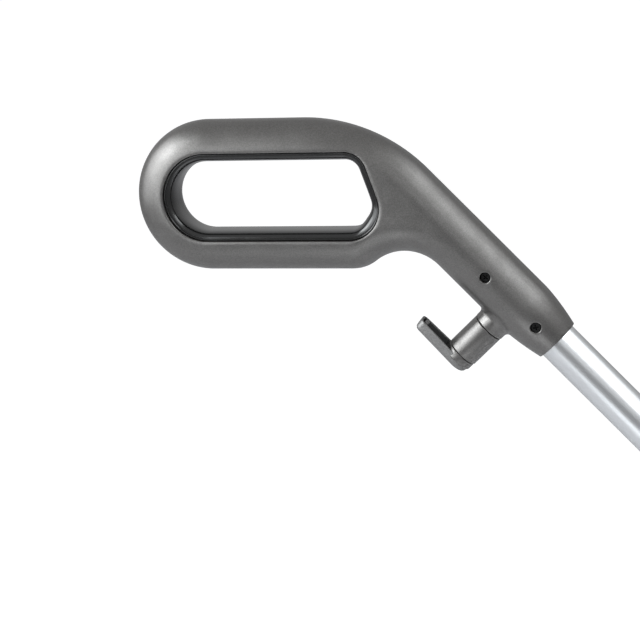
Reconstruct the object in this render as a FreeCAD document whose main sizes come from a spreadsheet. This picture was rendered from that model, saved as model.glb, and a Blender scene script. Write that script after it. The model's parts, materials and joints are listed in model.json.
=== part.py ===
import FreeCAD, Part
import math
import os
import re
from types import SimpleNamespace
from FreeCAD import Placement, Rotation, Vector

# Mains carpet sweeper: a low head with a belt-driven brush and a lift-out dirt tray, and a long
# tubular handle with a loop grip, pivoted on the head.  Millimetres; +X is the way it is pushed,
# +Z is up and the handle's midplane is Y = 0.  The origin is the middle of the footprint.

doc = FreeCAD.newDocument("carpet_sweeper")

DIMENSIONS = {
    # handle: the tube, and where it pivots on the head
    "handle_angle": 46.0,
    "pivot_height": 70.0,
    "pivot_to_socket": 900.0,
    "tube_radius": 11.0,
    "tube_wall": 1.2,
    "tube_in_grip": 64.0,
    # loop grip: outline in the midplane, measured from the middle of the socket's end face
    "loop_back": 186.0,
    "loop_height": 80.0,
    "loop_radius": 41.0,
    "grip_thickness": 29.0,
    "grip_edge": 12.0,
    "grip_wall": 2.5,
    "shoulder_radius": 93.0,
    "chin_radius": 21.0,
    "throat_radius": 25.6,
    "throat_height": 23.0,
    "neck_radius": 16.2,
    "neck_straight": 66.0,
    "taper_length": 25.0,
    "socket_radius": 12.6,
    # finger opening: the shell's rim, and the liner ring inside it
    "rim_radius": 24.2,
    "rim_toe": 17.5,
    "rim_heel": 13.0,
    "rim_front": 92.0,
    "rim_slope": 71.1,
    "liner_depth": 5.5,
    "liner_thickness": 23.0,
    "screw_hole": 2.85,
    "screw_first": 13.5,
    "screw_second": 51.0,
    # swivelling cord hook under the neck
    "hook_along": 30.2,
    "boss_radius": 9.0,
    "boss_end": 21.2,
    "sleeve_radius": 8.6,
    "sleeve_start": 21.6,
    "sleeve_end": 41.3,
    "arm_top": 43.4,
    "arm_bottom": 49.8,
    "arm_reach": 28.6,
    "arm_half_width": 6.5,
    "spindle_radius": 2.5,
    # fork at the foot of the tube
    "fork_inner": 39.5,
    "fork_outer": 48.0,
    "fork_eye": 16.0,
    "tube_start": 52.0,
    "pin_radius": 4.0,
    "running_gap": 0.06,
    "quadrant_radius": 22.0,
    # head
    "head_front": 168.0,
    "head_rear": 140.0,
    "head_half_width": 166.0,
    "tail_half_width": 134.0,
    "tail_front": 62.0,
    "floor_gap": 9.0,
    "parting": 30.0,
    "deck": 52.0,
    "nose_deck": 58.5,
    "wall": 2.5,
    "hump_radius": 30.0,
    "hump_half_width": 38.0,
    "cowl_seam": 60.0,
    "bumper_depth": 7.0,
    # brush, belt and motor
    "brush_forward": 129.0,
    "brush_height": 26.0,
    "brush_core": 13.0,
    "brush_tip": 25.0,
    "brush_half_length": 134.0,
    "tufts_in_row": 22.0,
    "motor_back": 30.0,
    "motor_height": 29.5,
    "motor_radius": 17.0,
    "motor_pulley": 5.7,
    "brush_pulley": 11.4,
    "belt_gap": 0.3,
    "belt_thickness": 1.4,
    "belt_plane": 151.0,
    # wheels
    "wheel_radius": 32.0,
    "wheel_back": 105.0,
    "roller_radius": 10.0,
    "roller_forward": 88.0,
    # dirt tray
    "tray_rear": 36.0,
    "tray_front": 74.0,
    "tray_half_width": 132.0,
    "tray_wall": 1.8,
}

sheet = doc.addObject("Spreadsheet::Sheet", "Dims")
for row, (alias, number) in enumerate(DIMENSIONS.items(), start=1):
    sheet.set(f"A{row}", alias)
    sheet.set(f"B{row}", str(number))
    sheet.setAlias(f"B{row}", alias)
doc.recompute()
dim = SimpleNamespace(**DIMENSIONS)

X_AXIS, Y_AXIS, Z_AXIS = Vector(1, 0, 0), Vector(0, 1, 0), Vector(0, 0, 1)
LEAN = math.radians(dim.handle_angle)
UP_TUBE = Vector(-math.cos(LEAN), 0, math.sin(LEAN))

# The loop grip reaches furthest back and the bumper furthest forward: x = 0 lies between them.
socket_back = dim.pivot_to_socket * math.cos(LEAN)
reach_back = socket_back + dim.loop_back + dim.loop_radius
reach_forward = dim.head_front + dim.bumper_depth
PIVOT = Vector((reach_back - reach_forward) / 2, 0, dim.pivot_height)

# Frames in which the pieces are drawn.
HEAD = Placement(Vector(PIVOT.x, 0, 0), Rotation())
HUB = Placement(PIVOT, Rotation())
TUBE = Placement(PIVOT, Rotation(Y_AXIS, dim.handle_angle - 90))
GRIP = Placement(PIVOT + UP_TUBE * dim.pivot_to_socket, Rotation())
NECK = Placement(Vector(), Rotation(Y_AXIS, dim.handle_angle - 90))
NECK_IN_HEAD = GRIP.multiply(NECK)

pieces = []


# ---------------------------------------------------------------- helpers

def bind(feature, **sizes):
    """Bind each property to an expression whose words are the sheet's aliases."""
    for name, size in sizes.items():
        feature.setExpression(name, re.sub(r"[a-z][a-z_]+", lambda word: "Dims." + word.group(), str(size)))


def box(name, length, width, height, corner):
    solid = doc.addObject("Part::Box", name)
    bind(solid, Length=length, Width=width, Height=height)
    solid.Placement.Base = Vector(*corner)
    return solid


def rod(name, radius, length, start, direction=Z_AXIS):
    solid = doc.addObject("Part::Cylinder", name)
    bind(solid, Radius=radius, Height=length)
    solid.Placement = Placement(Vector(*start), Rotation(Z_AXIS, direction))
    return solid


def cone(name, radius_low, radius_high, length, start, direction=Z_AXIS):
    solid = doc.addObject("Part::Cone", name)
    bind(solid, Radius1=radius_low, Radius2=radius_high, Height=length)
    solid.Placement = Placement(Vector(*start), Rotation(Z_AXIS, direction))
    return solid


def fuse(name, *solids):
    joined = doc.addObject("Part::MultiFuse", name)
    joined.Shapes = list(solids)
    joined.Refine = True
    return joined


def group(name, *solids):
    bundle = doc.addObject("Part::Compound", name)
    bundle.Links = list(solids)
    return bundle


def cut(name, base, *tools, refine=True):
    result = doc.addObject("Part::Cut", name)
    result.Base = base
    result.Tool = tools[0] if len(tools) == 1 else fuse(name + "_tools", *tools)
    result.Refine = refine
    return result


def common(name, first, second):
    result = doc.addObject("Part::Common", name)
    result.Base = first
    result.Tool = second
    result.Refine = True
    return result


def fillet(name, base, radius, picked):
    """Round the edges for which picked(edge) is true."""
    doc.recompute()
    result = doc.addObject("Part::Fillet", name)
    result.Base = base
    edges = enumerate(base.Shape.Edges, start=1)
    result.Edges = [(index, radius, radius) for index, edge in edges if picked(edge)]
    return result


def mirror(name, source):
    """The same solid on the other side of the midplane Y = 0."""
    copy = doc.addObject("Part::Mirroring", name)
    copy.Source = source
    copy.Normal = Y_AXIS
    return copy


def both_sides(name, solid):
    return group(name, solid, mirror(name + "_other", solid))


def rounded(corners):
    """Lines and tangent arcs round a closed outline of (x, y, corner radius) points."""
    starts, middles, ends = [], [], []
    for index, (x, y, radius) in enumerate(corners):
        here = Vector(x, y, 0)
        following = corners[(index + 1) % len(corners)]
        before = (Vector(*corners[index - 1][:2], 0) - here).normalize()
        after = (Vector(*following[:2], 0) - here).normalize()
        half_angle = before.getAngle(after) / 2
        reach = radius / math.tan(half_angle)
        starts.append(here + before * reach)
        ends.append(here + after * reach)
        bisector = (before + after).normalize()
        middles.append(here + bisector * (radius / math.sin(half_angle) - radius))
    geometry = []
    for index, corner in enumerate(corners):
        following = starts[(index + 1) % len(corners)]
        if corner[2] > 0:
            geometry.append(Part.Arc(starts[index], middles[index], ends[index]))
        if ends[index].distanceToPoint(following) > 1e-5:
            geometry.append(Part.LineSegment(ends[index], following))
    return geometry


def inset(corners, amount):
    """An anticlockwise outline moved inwards by amount; arcs keep their centres."""
    moved = []
    for index, (x, y, radius) in enumerate(corners):
        here = Vector(x, y, 0)
        into = (here - Vector(*corners[index - 1][:2], 0)).normalize()
        out = (Vector(*corners[(index + 1) % len(corners)][:2], 0) - here).normalize()
        turn = into.cross(out).z
        left_in, left_out = Vector(-into.y, into.x, 0), Vector(-out.y, out.x, 0)
        shift = (left_in + left_out) * (amount / (1 + left_in.dot(left_out)))
        change = -amount if turn > 0 else amount
        moved.append((x + shift.x, y + shift.y, max(radius + change, 0.0) if radius else 0.0))
    return moved


UPRIGHT = Rotation(X_AXIS, 90)          # sketch x, y become X, Z and its normal -Y


def sketch(name, geometry, placement=Placement()):
    drawing = doc.addObject("Sketcher::SketchObject", name)
    drawing.Placement = placement
    drawing.addGeometry(geometry, False)
    return drawing


def extrude(name, geometry, length, placement=Placement(), symmetric=False):
    solid = doc.addObject("Part::Extrusion", name)
    solid.Base = sketch(name + "_outline", geometry, placement)
    solid.DirMode = "Normal"
    solid.Solid = True
    solid.Symmetric = symmetric
    bind(solid, LengthFwd=length)
    return solid


def plate(name, corners, height, low):
    """Prism on a rounded outline in plan, from z = low upwards."""
    return extrude(name, rounded(corners), height, Placement(Vector(0, 0, low), Rotation()))


def slab(name, corners, width):
    """Prism on a rounded outline in the XZ plane, centred on Y = 0."""
    return extrude(name, rounded(corners), width, Placement(Vector(), UPRIGHT), symmetric=True)


def turned(name, profile, placement=Placement()):
    """PartDesign body turned about its own Z axis; profile is (radius, height, corner radius)."""
    body = doc.addObject("PartDesign::Body", name)
    plane = [item for item in body.Origin.OriginFeatures if item.Role == "XZ_Plane"][0]
    drawing = body.newObject("Sketcher::SketchObject", name + "_profile")
    drawing.AttachmentSupport = (plane, [""])
    drawing.MapMode = "FlatFace"
    drawing.addGeometry(rounded(profile), False)
    revolution = body.newObject("PartDesign::Revolution", name + "_turn")
    revolution.Profile = drawing
    revolution.ReferenceAxis = (drawing, ["V_Axis"])
    revolution.Angle = 360
    body.Tip = revolution
    body.Placement = placement
    return body


def coil(name, radius, wire, pitch, turns, placement=Placement()):
    """Helical spring about its own Z axis."""
    path = doc.addObject("Part::Helix", name + "_path")
    path.Radius, path.Pitch, path.Height = radius, pitch, pitch * turns
    section = doc.addObject("Part::Circle", name + "_wire")
    section.Radius = wire
    section.Placement = Placement(Vector(radius, 0, 0), UPRIGHT)
    spring = doc.addObject("Part::Sweep", name)
    spring.Sections = [section]
    doc.recompute()
    spring.Spine = (path, ["Edge1"])
    spring.Solid = True
    spring.Frenet = True
    spring.Placement = placement
    return spring


def piece(label, solid, frame):
    """Finish a sub-part: its label names its file, and frame places it on the machine."""
    solid.Label = label
    solid.Placement = frame.multiply(solid.Placement)
    pieces.append(solid)


def keep_both(name, solid, frame):
    piece(name, both_sides(name + "_pair", solid), frame)


# ---------------------------------------------------------------- loop grip

def grip_corners():
    """Outline of loop and neck in the midplane, anticlockwise, cut square across the neck."""
    low = dim.loop_height - dim.loop_radius
    high = dim.loop_height + dim.loop_radius
    back = -dim.loop_back - dim.loop_radius
    across = Vector(math.sin(LEAN), math.cos(LEAN), 0)
    along = Vector(-math.cos(LEAN), math.sin(LEAN), 0)
    top_of_neck = across * dim.neck_radius
    under_neck = across * -dim.neck_radius
    shoulder = top_of_neck + along * ((high - top_of_neck.y) / along.y)
    # Throat and chin are two arcs that meet on the line between their centres.
    throat_x = (-(dim.neck_radius + dim.throat_radius) - dim.throat_height * across.y) / across.x
    throat = Vector(throat_x, dim.throat_height, 0)
    rise = low + dim.chin_radius - dim.throat_height
    spread = dim.chin_radius + dim.throat_radius
    to_chin = Vector(-math.sqrt(spread**2 - rise**2), rise, 0) / spread
    meeting = throat + to_chin * dim.throat_radius
    slope = Vector(to_chin.y, -to_chin.x, 0)
    chin_corner = meeting - slope * ((meeting.y - low) / slope.y)
    reach = (-dim.neck_radius - meeting.dot(across)) / slope.dot(across)
    throat_corner = meeting + slope * reach
    neck_low = under_neck + along * dim.neck_straight
    neck_high = top_of_neck + along * dim.neck_straight
    return [
        (back, low, dim.loop_radius),
        (chin_corner.x, chin_corner.y, dim.chin_radius),
        (throat_corner.x, throat_corner.y, dim.throat_radius),
        (neck_low.x, neck_low.y, 0),
        (neck_high.x, neck_high.y, 0),
        (shoulder.x, shoulder.y, dim.shoulder_radius),
        (back, high, dim.loop_radius),
    ]


def rim_corners():
    """Outline of the hole in the shells that the liner fills, anticlockwise."""
    low = dim.loop_height - dim.rim_radius
    high = dim.loop_height + dim.rim_radius
    back = -dim.loop_back - dim.rim_radius
    lean = math.tan(math.radians(dim.rim_slope))
    return [
        (back, low, dim.rim_radius),
        (-dim.rim_front - (low - dim.loop_height) / lean, low, dim.rim_toe),
        (-dim.rim_front - (high - dim.loop_height) / lean, high, dim.rim_heel),
        (back, high, dim.rim_radius),
    ]


def away_from_neck_cut(edge):
    """True for an edge of the loop's two faces that isn't on the cut across the neck."""
    tangent = edge.tangentAt((edge.FirstParameter + edge.LastParameter) / 2)
    return edge.BoundBox.YLength < 1e-6 and abs(tangent.dot(UP_TUBE)) > 1e-6


def neck_section(name, half_width, half_thickness, radius, along):
    corners = [
        (-half_width, -half_thickness, radius),
        (half_width, -half_thickness, radius),
        (half_width, half_thickness, radius),
        (-half_width, half_thickness, radius),
    ]
    place = NECK.multiply(Placement(Vector(0, 0, along), Rotation()))
    return sketch(name, rounded(corners), place)


def grip_solid():
    """Outer form of the moulded grip: loop, neck, tapered socket and the cord hook's boss."""
    loop = slab("loop_block", grip_corners(), "grip_thickness")
    loop_round = fillet("loop_round", loop, dim.grip_edge, away_from_neck_cut)
    opening = slab("loop_opening", rim_corners(), "grip_thickness + 2")
    loop_open = cut("loop_open", loop_round, opening)
    at_loop = neck_section("neck_at_loop", dim.neck_radius, dim.grip_thickness / 2, dim.grip_edge,
                           dim.neck_straight)
    nearly_round = dim.neck_radius - 0.01
    at_taper = neck_section("neck_at_taper", dim.neck_radius, dim.neck_radius, nearly_round,
                            dim.taper_length)
    neck = doc.addObject("Part::Loft", "neck")
    neck.Sections = [at_loop, at_taper]
    neck.Solid = True
    neck.Ruled = True
    socket_profile = [
        (0, 0, 0),
        (dim.socket_radius, 0, 0),
        (dim.neck_radius - 0.9, 14.0, 40.0),
        (dim.neck_radius, dim.taper_length, 0),
        (0, dim.taper_length, 0),
    ]
    socket = turned("socket", socket_profile, NECK)
    boss = rod("hook_boss", "boss_radius", "boss_end", (0, 0, dim.hook_along), -X_AXIS)
    boss.Placement = NECK.multiply(boss.Placement)
    return fuse("grip_form", loop_open, neck, socket, boss)


def grip_cavity():
    """Hollow inside the loop, a wall's thickness inside the outer form."""
    outline = inset(grip_corners(), dim.grip_wall)
    hollow = slab("hollow_block", outline, "grip_thickness - 2 * grip_wall")
    hollow_round = fillet("hollow_round", hollow, dim.grip_edge - dim.grip_wall, away_from_neck_cut)
    kept_wall = slab("rim_wall", inset(rim_corners(), -dim.grip_wall), "grip_thickness")
    return cut("hollow", hollow_round, kept_wall)


def in_neck(solid):
    solid.Placement = NECK.multiply(solid.Placement)
    return solid


def make_grip():
    bore = in_neck(rod("grip_bore", "tube_radius", "tube_in_grip", (0, 0, 0)))
    spindle_hole = in_neck(rod("boss_hole", "spindle_radius", "boss_end", (0, 0, dim.hook_along), -X_AXIS))
    tools = [grip_cavity(), bore, spindle_hole]
    screws = []
    for number, along in enumerate((dim.screw_first, dim.screw_second)):
        head_hole = rod(f"screw_recess_{number}", "screw_hole", 12, (0, -17, along), Y_AXIS)
        shank_hole = rod(f"screw_way_{number}", 1.5, 31, (0, -16, along), Y_AXIS)
        tools += [in_neck(head_hole), in_neck(shank_hole)]
        shank = rod(f"screw_shank_{number}", 1.5, 25.4, (0, -12, along), Y_AXIS)
        head = rod(f"screw_head_{number}", 2.75, 2.2, (0, -14, along), Y_AXIS)
        slot = rod(f"screw_cross_{number}", 1.0, 1.2, (0, -14, along), Y_AXIS)
        screws.append(in_neck(cut(f"screw_{number}", fuse(f"screw_blank_{number}", shank, head), slot)))
    hollow_grip = cut("hollow_grip", grip_solid(), *tools)
    for side, low_y in (("right", -40), ("left", 0)):
        half = box(f"half_{side}", 400, 40, 300, (-300, low_y, -60))
        piece(f"handle_shell_{side}", common(f"shell_{side}", hollow_grip, half), GRIP)
    piece("handle_screws", group("screw_set", *screws), GRIP)

    ring = slab("liner_block", rim_corners(), "liner_thickness")
    window = slab("liner_window", inset(rim_corners(), dim.liner_depth), "liner_thickness + 2")
    band = cut("liner_band", ring, window)

    def on_opening(edge):
        """Edges of the liner's faces along the finger opening, inside the rim."""
        flat = edge.BoundBox.YLength < 1e-6
        middle = edge.valueAt((edge.FirstParameter + edge.LastParameter) / 2)
        reach = window.Shape.distToShape(Part.Vertex(middle))[0]
        return flat and reach < 1e-4

    piece("grip_liner", fillet("liner_round", band, dim.liner_depth - 0.6, on_opening), GRIP)


# ---------------------------------------------------------------- tube and cord hooks

def make_tube():
    length = "pivot_to_socket + tube_in_grip - tube_start"
    blank = rod("tube_blank", "tube_radius", length, (0, 0, dim.tube_start))
    bore = rod("tube_bore", "tube_radius - tube_wall", length, (0, 0, dim.tube_start))
    tools = [bore]
    for number, along in enumerate((dim.screw_first, dim.screw_second)):
        height = dim.pivot_to_socket + along
        tools.append(rod(f"tube_screw_hole_{number}", 1.6, 30, (0, -15, height), Y_AXIS))
    hook_height = dim.pivot_to_socket + dim.hook_along
    tools.append(rod("tube_spindle_hole", "spindle_radius + 0.1", 20, (0, 0, hook_height), -X_AXIS))
    tools.append(rod("tube_bolt_hole", 2.05, 30, (0, -15, 84), Y_AXIS))
    piece("handle_tube", cut("tube", blank, *tools), TUBE)


def make_cord_hook():
    along = dim.hook_along
    length = "sleeve_end - sleeve_start"
    sleeve = rod("sleeve_blank", "sleeve_radius", length, (-dim.sleeve_start, 0, along), -X_AXIS)
    shaft_way = rod("sleeve_bore", "spindle_radius + running_gap", 30, (-15, 0, along), -X_AXIS)
    chamber = rod("sleeve_chamber", 5.2, 14, (-24, 0, along), -X_AXIS)
    piece("cord_hook_sleeve", cut("sleeve", sleeve, shaft_way, chamber), NECK_IN_HEAD)

    height = dim.arm_bottom - dim.arm_top
    disc = rod("arm_disc", "sleeve_radius - 0.3", "arm_bottom - sleeve_end", (-dim.sleeve_end, 0, along), -X_AXIS)
    half = dim.arm_half_width
    reach = along + dim.arm_reach
    blade_outline = [(-half, along, 0), (half, along, 0), (half, reach, 5.0), (-half, reach, 5.0)]
    blade = extrude("arm_blade", rounded(blade_outline), "arm_bottom - arm_top")
    # Sketch x, y become Y and Z, and the normal becomes +X.
    lay_flat = Placement(Vector(-dim.arm_bottom, 0, 0), Rotation(Y_AXIS, Z_AXIS, X_AXIS, "ZXY"))
    blade.Base.Placement = lay_flat
    channel_outline = inset([(-half, along + 9.5, 1), (half, along + 9.5, 1), (half, reach, 5.0),
                             (-half, reach, 5.0)], 2.0)
    channel = extrude("arm_channel", rounded(channel_outline), height)
    channel.Base.Placement = Placement(Vector(2.0, 0, 0), Rotation()).multiply(lay_flat)
    body = fuse("arm_body", disc, blade)

    def outer_face(edge):
        return edge.BoundBox.XLength < 1e-6 and abs(edge.BoundBox.XMin + dim.arm_bottom) < 1e-4

    soft = fillet("arm_soft", body, 1.8, outer_face)
    way = rod("arm_bore", "spindle_radius + running_gap", 12, (-40, 0, along), -X_AXIS)
    recess = rod("arm_recess", 4.8, 6, (-46.2, 0, along), -X_AXIS)
    nub = box("arm_nub", 3.6, 5, 1.6, (-dim.arm_bottom + 1.5, -2.5, reach - 5.5))
    piece("cord_hook_arm", fuse("arm", cut("arm_cut", soft, channel, way, recess), nub), NECK_IN_HEAD)

    spindle_rod = rod("spindle_rod", "spindle_radius", 33, (-13.5, 0, along), -X_AXIS)
    spindle_head = rod("spindle_head", 4.4, 2.0, (-46.5, 0, along), -X_AXIS)
    spindle_slot = box("spindle_slot", 1.2, 6, 1.0, (-48.6, -3, along - 0.5))
    spindle = cut("spindle", fuse("spindle_blank", spindle_rod, spindle_head), spindle_slot)
    piece("cord_hook_spindle", spindle, NECK_IN_HEAD)
    piece("cord_hook_spring", coil("hook_coil", 4.0, 0.5, 2.4, 5,
                                   Placement(Vector(-24.8, 0, along), Rotation(Z_AXIS, -X_AXIS))), NECK_IN_HEAD)


def make_lower_hook():
    """Fixed hook clamped on the tube, its blade pointing down the tube for the cord's lower bend."""
    at = 250.0
    ring = rod("clamp_ring", "tube_radius + 3.5", 24, (0, 0, at - 12))
    arm_corners = [(-38, at - 30, 3), (-32, at - 30, 2.9), (-32, at - 3, 2), (-8, at - 3, 0), (-8, at + 5, 0),
                   (-38, at + 5, 5)]
    blade = slab("clamp_blade", arm_corners, 14)
    bump = rod("clamp_bump", 4, 5.5, (11, 0, at), X_AXIS)
    bore = rod("clamp_bore", "tube_radius", 30, (0, 0, at - 15))
    screw_way = rod("clamp_screw_way", 1.5, 10, (10, 0, at), X_AXIS)
    piece("lower_cord_hook", cut("clamp", fuse("clamp_form", ring, blade, bump), bore, screw_way), TUBE)
    shank = rod("clamp_screw_shank", 1.5, 5.5, (11, 0, at), X_AXIS)
    head = rod("clamp_screw_head", 2.9, 1.8, (16.5, 0, at), X_AXIS)
    piece("lower_hook_screw", fuse("clamp_screw", shank, head), TUBE)


# ---------------------------------------------------------------- fork and pivot

def make_fork():
    """Fork that carries the tube: two eyes on the pivot, a crossbar and a tapered socket."""
    eye = rod("eye", "fork_eye", "fork_outer - fork_inner", (0, dim.fork_inner, 0), Y_AXIS)
    leg = box("leg", 24, "fork_outer - fork_inner", 46, (-12, dim.fork_inner, 0))
    arm = both_sides("arms", fuse("arm_side", eye, leg))
    bar_corners = [(-dim.fork_outer, 34, 2), (dim.fork_outer, 34, 2), (dim.fork_outer, 40, 6), (20, 58, 16),
                   (-20, 58, 16), (-dim.fork_outer, 40, 6)]
    bar = extrude("crossbar", rounded(bar_corners), 24)
    bar.Base.Placement = Placement(Vector(-12, 0, 0), Rotation(Y_AXIS, Z_AXIS, X_AXIS, "ZXY"))
    socket_profile = [(0, 46, 0), (12, 46, 0), (17, 60, 12), (16, 84, 30), (14.6, 112, 1.2), (0, 112, 0)]
    socket = turned("fork_socket", socket_profile)
    whole = fuse("fork_form", arm, bar, socket)
    bore = rod("fork_bore", "tube_radius", 70, (0, 0, dim.tube_start))
    eyes = rod("eye_bores", 6, 120, (0, -60, 0), Y_AXIS)
    bolt_way = rod("bolt_way", 2, 50, (0, -25, 84), Y_AXIS)
    head_recess = rod("bolt_recess", 4, 6, (0, -19, 84), Y_AXIS)
    clear_tube_screw = rod("nut_recess", 3.6, 6, (0, 13.6, 84), Y_AXIS)
    fork = cut("fork", whole, bore, eyes, bolt_way, head_recess, clear_tube_screw)

    def outer_cheek(edge):
        side = edge.BoundBox.YLength < 1e-6 and abs(abs(edge.BoundBox.YMin) - dim.fork_outer) < 1e-4
        return side and edge.BoundBox.DiagonalLength > 13

    piece("handle_yoke", fillet("fork_soft", fork, 2.0, outer_cheek), TUBE)

    bolt = rod("bolt_shank", 2, 28, (0, -13.4, 84), Y_AXIS)
    bolt_head = rod("bolt_head", 3.6, 2.4, (0, -15.6, 84), Y_AXIS)
    nut = rod("bolt_nut", 3.4, 2.6, (0, 13.8, 84), Y_AXIS)
    piece("yoke_bolt", fuse("bolt", bolt, bolt_head, nut), TUBE)

    bush = rod("bush_barrel", 6, "fork_outer - fork_inner", (0, dim.fork_inner, 0), Y_AXIS)
    flange = rod("bush_flange", 8, 1, (0, dim.fork_outer, 0), Y_AXIS)
    bush_bore = rod("bush_bore", "pin_radius + running_gap", 30, (0, 30, 0), Y_AXIS)
    keep_both("pivot_bushes", cut("bush", fuse("bush_form", bush, flange), bush_bore), TUBE)

    pin = rod("pin_shank", "pin_radius", 26, (0, 24, 0), Y_AXIS)
    pin_head = rod("pin_head", 7, 2.6, (0, dim.fork_outer + 1.4, 0), Y_AXIS)
    keep_both("pivot_pins", fuse("pin", pin, pin_head), HUB)

    # Notches for low, working and upright handle; a tilt of q brings the one at -q downwards.
    sector = rod("sector", "quadrant_radius", 3, (0, -dim.fork_outer - 3, 0), Y_AXIS)
    tools = [rod("sector_eye", 9, 10, (0, -dim.fork_outer - 6, 0), Y_AXIS)]
    for number, tilt in enumerate((-33, 0, 44)):
        notch = box(f"notch_{number}", 6, 8, 6, (0, 0, 0))
        turn = Placement(Vector(), Rotation(Y_AXIS, -tilt))
        notch.Placement = turn.multiply(Placement(Vector(-3, -54, -dim.quadrant_radius - 2), Rotation()))
        tools.append(notch)
    piece("latch_quadrant", cut("quadrant", sector, *tools), HUB)


# ---------------------------------------------------------------- head: casings

SCREW_SPOTS = [(-124, -104), (-124, 104), (-52, -150), (-52, 150), (156, -149), (156, 149)]


def head_plan(amount=0.0):
    """Head outline in plan, narrower at the tail where the wheels stand outside it."""
    wide, narrow = dim.head_half_width, dim.tail_half_width
    front, rear, step = dim.head_front, -dim.head_rear, -dim.tail_front
    right_side = [(rear, -narrow, 22), (step, -narrow, 8), (step, -wide, 12), (front, -wide, 28)]
    left_side = [(x, -y, radius) for x, y, radius in reversed(right_side)]
    return inset(right_side + left_side, amount)


def cover_profile(amount=0.0):
    """Top cover seen from the side, anticlockwise: tail, deck and the raised nose over the brush.

    It overhangs the plan a little at both ends, so that its arcs meet the end walls in an edge.
    """
    rear, front = -dim.head_rear - 2, dim.head_front + 2
    return inset([
        (rear, dim.parting - 30, 0),
        (front, dim.parting - 30, 0),
        (front, dim.nose_deck, 24),
        (104, dim.nose_deck, 16),
        (88, dim.deck, 16),
        (rear, dim.deck, 13),
    ], amount)


def hump(name, amount, half_width):
    """Housing over the pivot towers: half a drum above the deck."""
    radius = dim.hump_radius - amount
    drum = rod(name + "_drum", radius, 2 * half_width, (0, -half_width, dim.pivot_height), Y_AXIS)
    foot = box(name + "_foot", 2 * radius, 2 * half_width, 30, (-radius, -half_width, dim.pivot_height - 30))
    return fuse(name, drum, foot)


def cover_form(name, amount):
    """Cover's form, a given distance inside its outer skin, from the parting line up."""
    side_view = slab(name + "_side", cover_profile(amount), 2 * dim.head_half_width + 20)
    plan = plate(name + "_plan", head_plan(amount), 60, dim.parting - 1)
    block = common(name + "_block", side_view, plan)

    def on_side_walls(edge):
        """Edges where the deck meets the two long sides."""
        edge_box = edge.BoundBox
        on_wall = abs(abs(edge_box.YMin) - (dim.head_half_width - amount)) < 1e-4 and edge_box.YLength < 1e-6
        return on_wall and edge_box.ZMin > 40 and edge_box.XLength > 1
    softened = fillet(name + "_soft", block, max(7.0 - amount, 2.0), on_side_walls)
    return fuse(name, softened, hump(name + "_hump", amount, dim.hump_half_width - amount))


def make_top_cover():
    outer = cover_form("cover_outer", 0.0)
    inner = cover_form("cover_inner", dim.wall)
    below = box("below_parting", 400, 400, dim.parting + 40, (-200, -200, -40))
    tray_hole = box("tray_hole", 43.4, 279, 40, (dim.tray_rear - 2.2, -139.5, 40))
    quadrant_slot = box("quadrant_slot", 44, 7, 20, (-22, -53.5, 40))
    pedal_hole = plate("pedal_hole", [(-115, -77, 4), (-71, -77, 4), (-71, -43, 4), (-115, -43, 4)], 30, 40)
    button_hole = rod("button_hole", 13.4, 30, (-86, 84, 40))
    pin_ways = rod("pin_ways", 5, 100, (0, -50, dim.pivot_height), Y_AXIS)
    gland_notch = rod("gland_notch", 7, 12, (-dim.head_rear - 3, 40, dim.parting), X_AXIS)
    axle_ways = rod("cover_axle_ways", 4.5, 280, (-dim.wheel_back, -140, dim.wheel_radius), Y_AXIS)
    tools = [inner, below, axle_ways, tray_hole, quadrant_slot, pedal_hole, button_hole, pin_ways, gland_notch]
    shell = cut("cover_shell", outer, *tools)
    # The upper part of the hump is a cowl of its own, so that the pivot pins can be fitted.
    above_seam = box("above_seam", 80, 100, 60, (-40, -50, dim.cowl_seam))
    piece("pivot_cowl", common("cowl", shell, above_seam), HEAD)
    posts = []
    for number, (x, y) in enumerate(SCREW_SPOTS):
        post = rod(f"cover_post_{number}", 4.2, 51 - dim.parting, (x, y, dim.parting))
        posts.append(cut(f"cover_boss_{number}", post, rod(f"cover_pilot_{number}", 1.3, 14, (x, y, dim.parting))))
    deck = cut("cover_deck", shell, box("hump_above_seam", 80, 100, 60, (-40, -50, dim.cowl_seam)))
    piece("top_cover", fuse("cover", deck, *posts), HEAD)


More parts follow.
